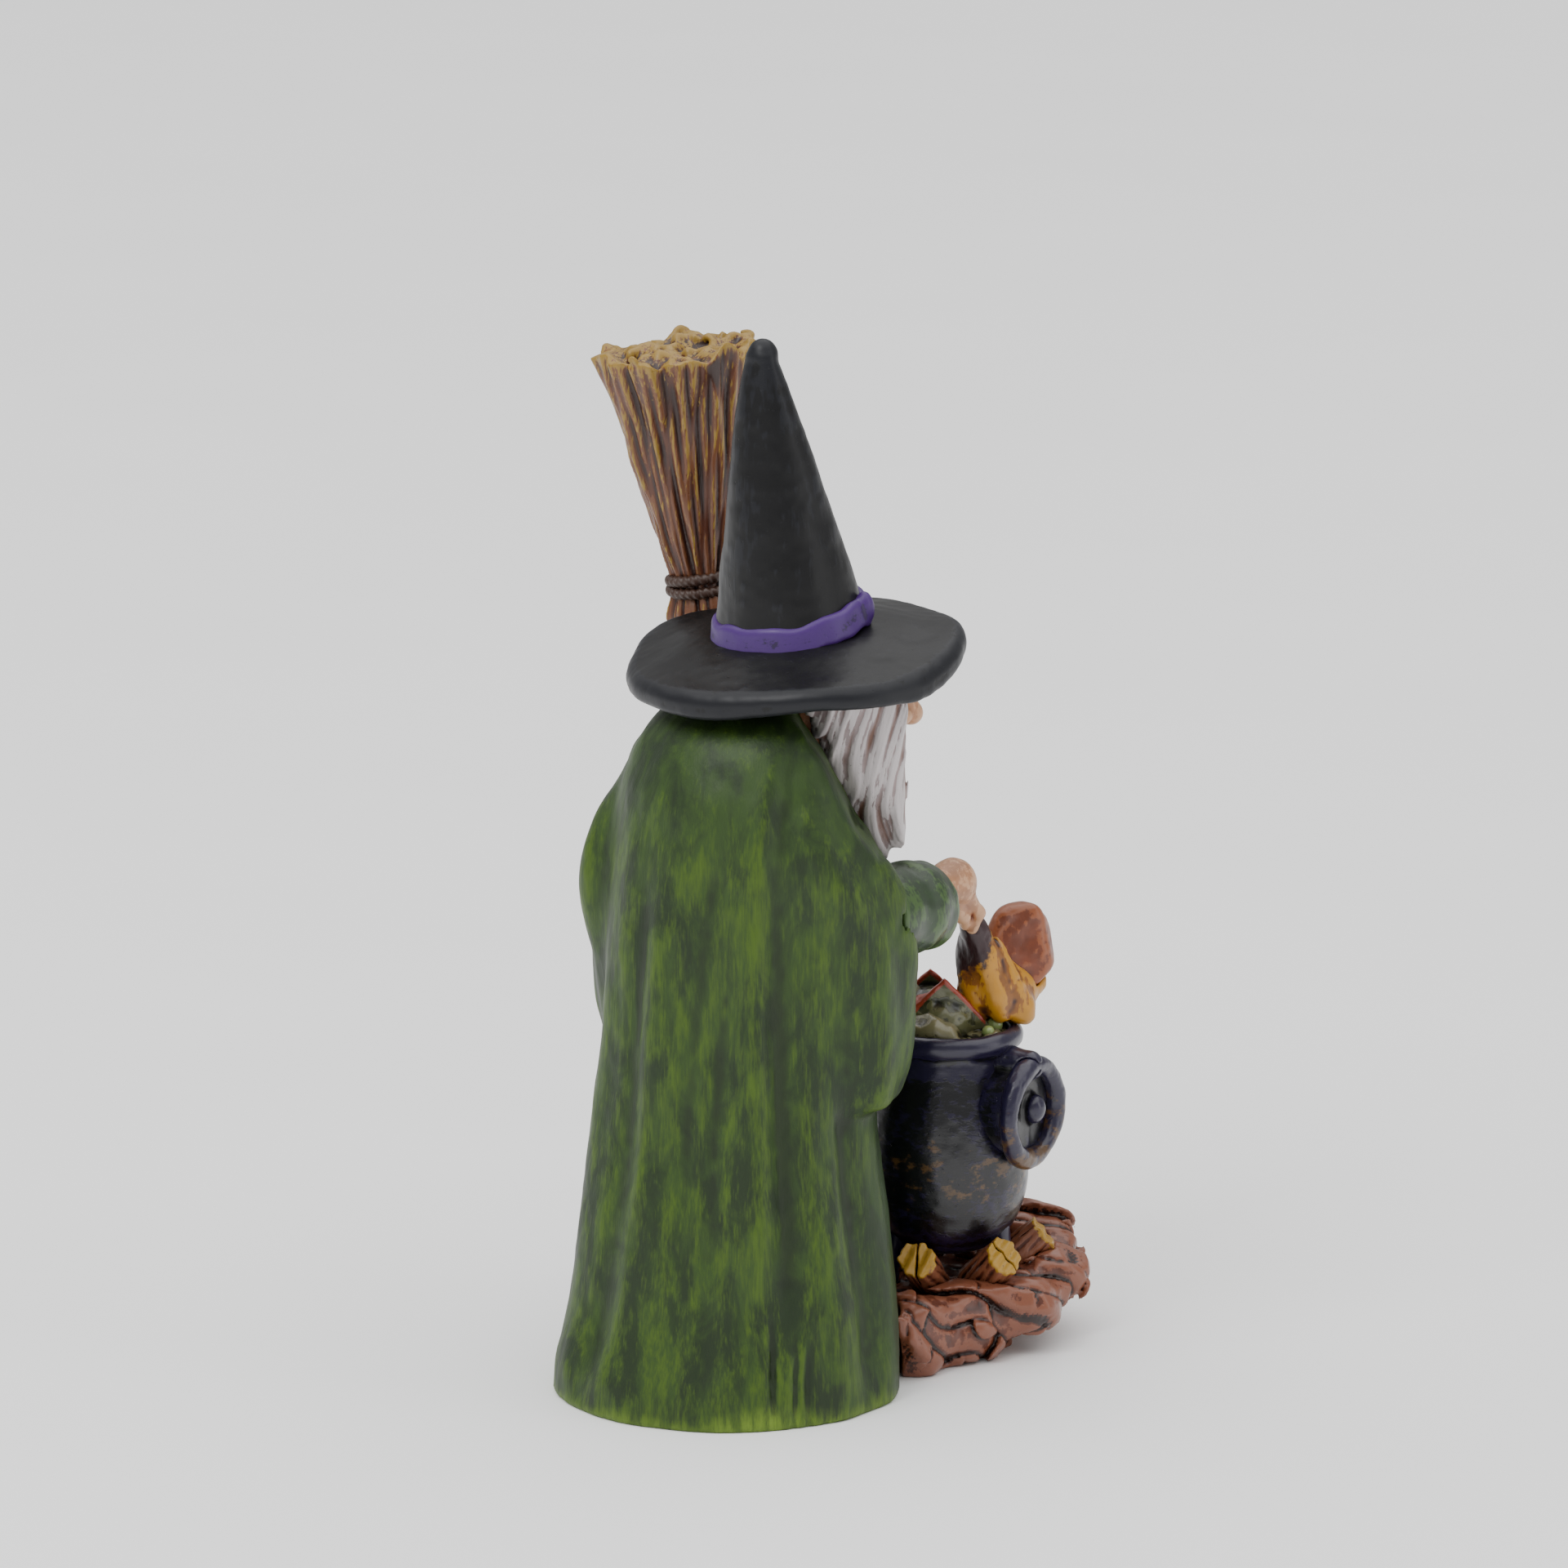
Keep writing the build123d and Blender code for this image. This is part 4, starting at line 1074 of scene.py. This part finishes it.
def make_camera():
    turn, lift = math.radians(VIEW_AZIMUTH), math.radians(VIEW_ELEVATION)
    back = Vector((math.sin(turn) * math.cos(lift), -math.cos(turn) * math.cos(lift), math.sin(lift)))
    centre = Vector((np.array(VIEW_CENTRE) + HOME) * MM)
    camera = bpy.data.objects.new("camera", bpy.data.cameras.new("camera"))
    camera.location = centre + back * VIEW_DISTANCE * MM
    camera.rotation_euler = back.to_track_quat("Z", "Y").to_euler()
    camera.data.sensor_width = 36
    camera.data.lens = 36 * VIEW_DISTANCE / VIEW_WIDTH
    camera.data.clip_start, camera.data.clip_end = 0.01, 20
    bpy.context.collection.objects.link(camera)
    bpy.context.scene.camera = camera


def make_light(name, toward, distance, size, power):
    """A rectangular lamp that shines at the figurine from a distance in metres."""
    lamp = bpy.data.lights.new(name, "AREA")
    lamp.shape, lamp.size, lamp.size_y = "RECTANGLE", size[0], size[1]
    lamp.energy = power
    thing = bpy.data.objects.new(name, lamp)
    way = Vector(toward).normalized()
    thing.location = Vector((0, 0, 0.06)) + way * distance
    thing.rotation_euler = way.to_track_quat("Z", "Y").to_euler()
    bpy.context.collection.objects.link(thing)


def make_stage():
    turn = math.radians(VIEW_AZIMUTH)
    right = Vector((math.cos(turn), math.sin(turn), 0))
    back = Vector((math.sin(turn), -math.cos(turn), 0))
    up = Vector((0, 0, 1))
    make_light("key", back * 0.7 - right * 0.6 + up, distance=0.9, size=(0.4, 0.4), power=3.2)
    make_light("overhead", up, distance=2.4, size=(5, 5), power=125)
    make_light("fill_right", right + back * 0.35 + up * 0.25, distance=0.9, size=(0.25, 0.6), power=1.0)
    mesh = bpy.data.meshes.new("floor")
    far = FLOOR_REACH
    mesh.from_pydata([(-far, -far, 0), (far, -far, 0), (far, far, 0), (-far, far, 0)], [], [(0, 1, 2, 3)])
    floor = bpy.data.objects.new("floor", mesh)
    pale = Paint("floor_white", roughness=0.8, specular=0.1)
    pale.colour(pale.mix(pale.noise(60, detail=2), (0.93, 0.93, 0.93), (0.97, 0.97, 0.97)))
    mesh.materials.append(pale.material)
    bpy.context.collection.objects.link(floor)
    world = bpy.context.scene.world or bpy.data.worlds.new("world")
    bpy.context.scene.world = world
    world.use_nodes = True
    sky = world.node_tree.nodes["Background"]
    sky.inputs["Color"].default_value = (1, 1, 1, 1)
    sky.inputs["Strength"].default_value = 0.5


make_camera()
make_stage()
make_hat()
make_head()
make_hands()
make_robe()
make_inner_sleeves()
make_broom()
make_cauldron()
make_contents()
make_ingredients()
make_firewood()
make_rock()
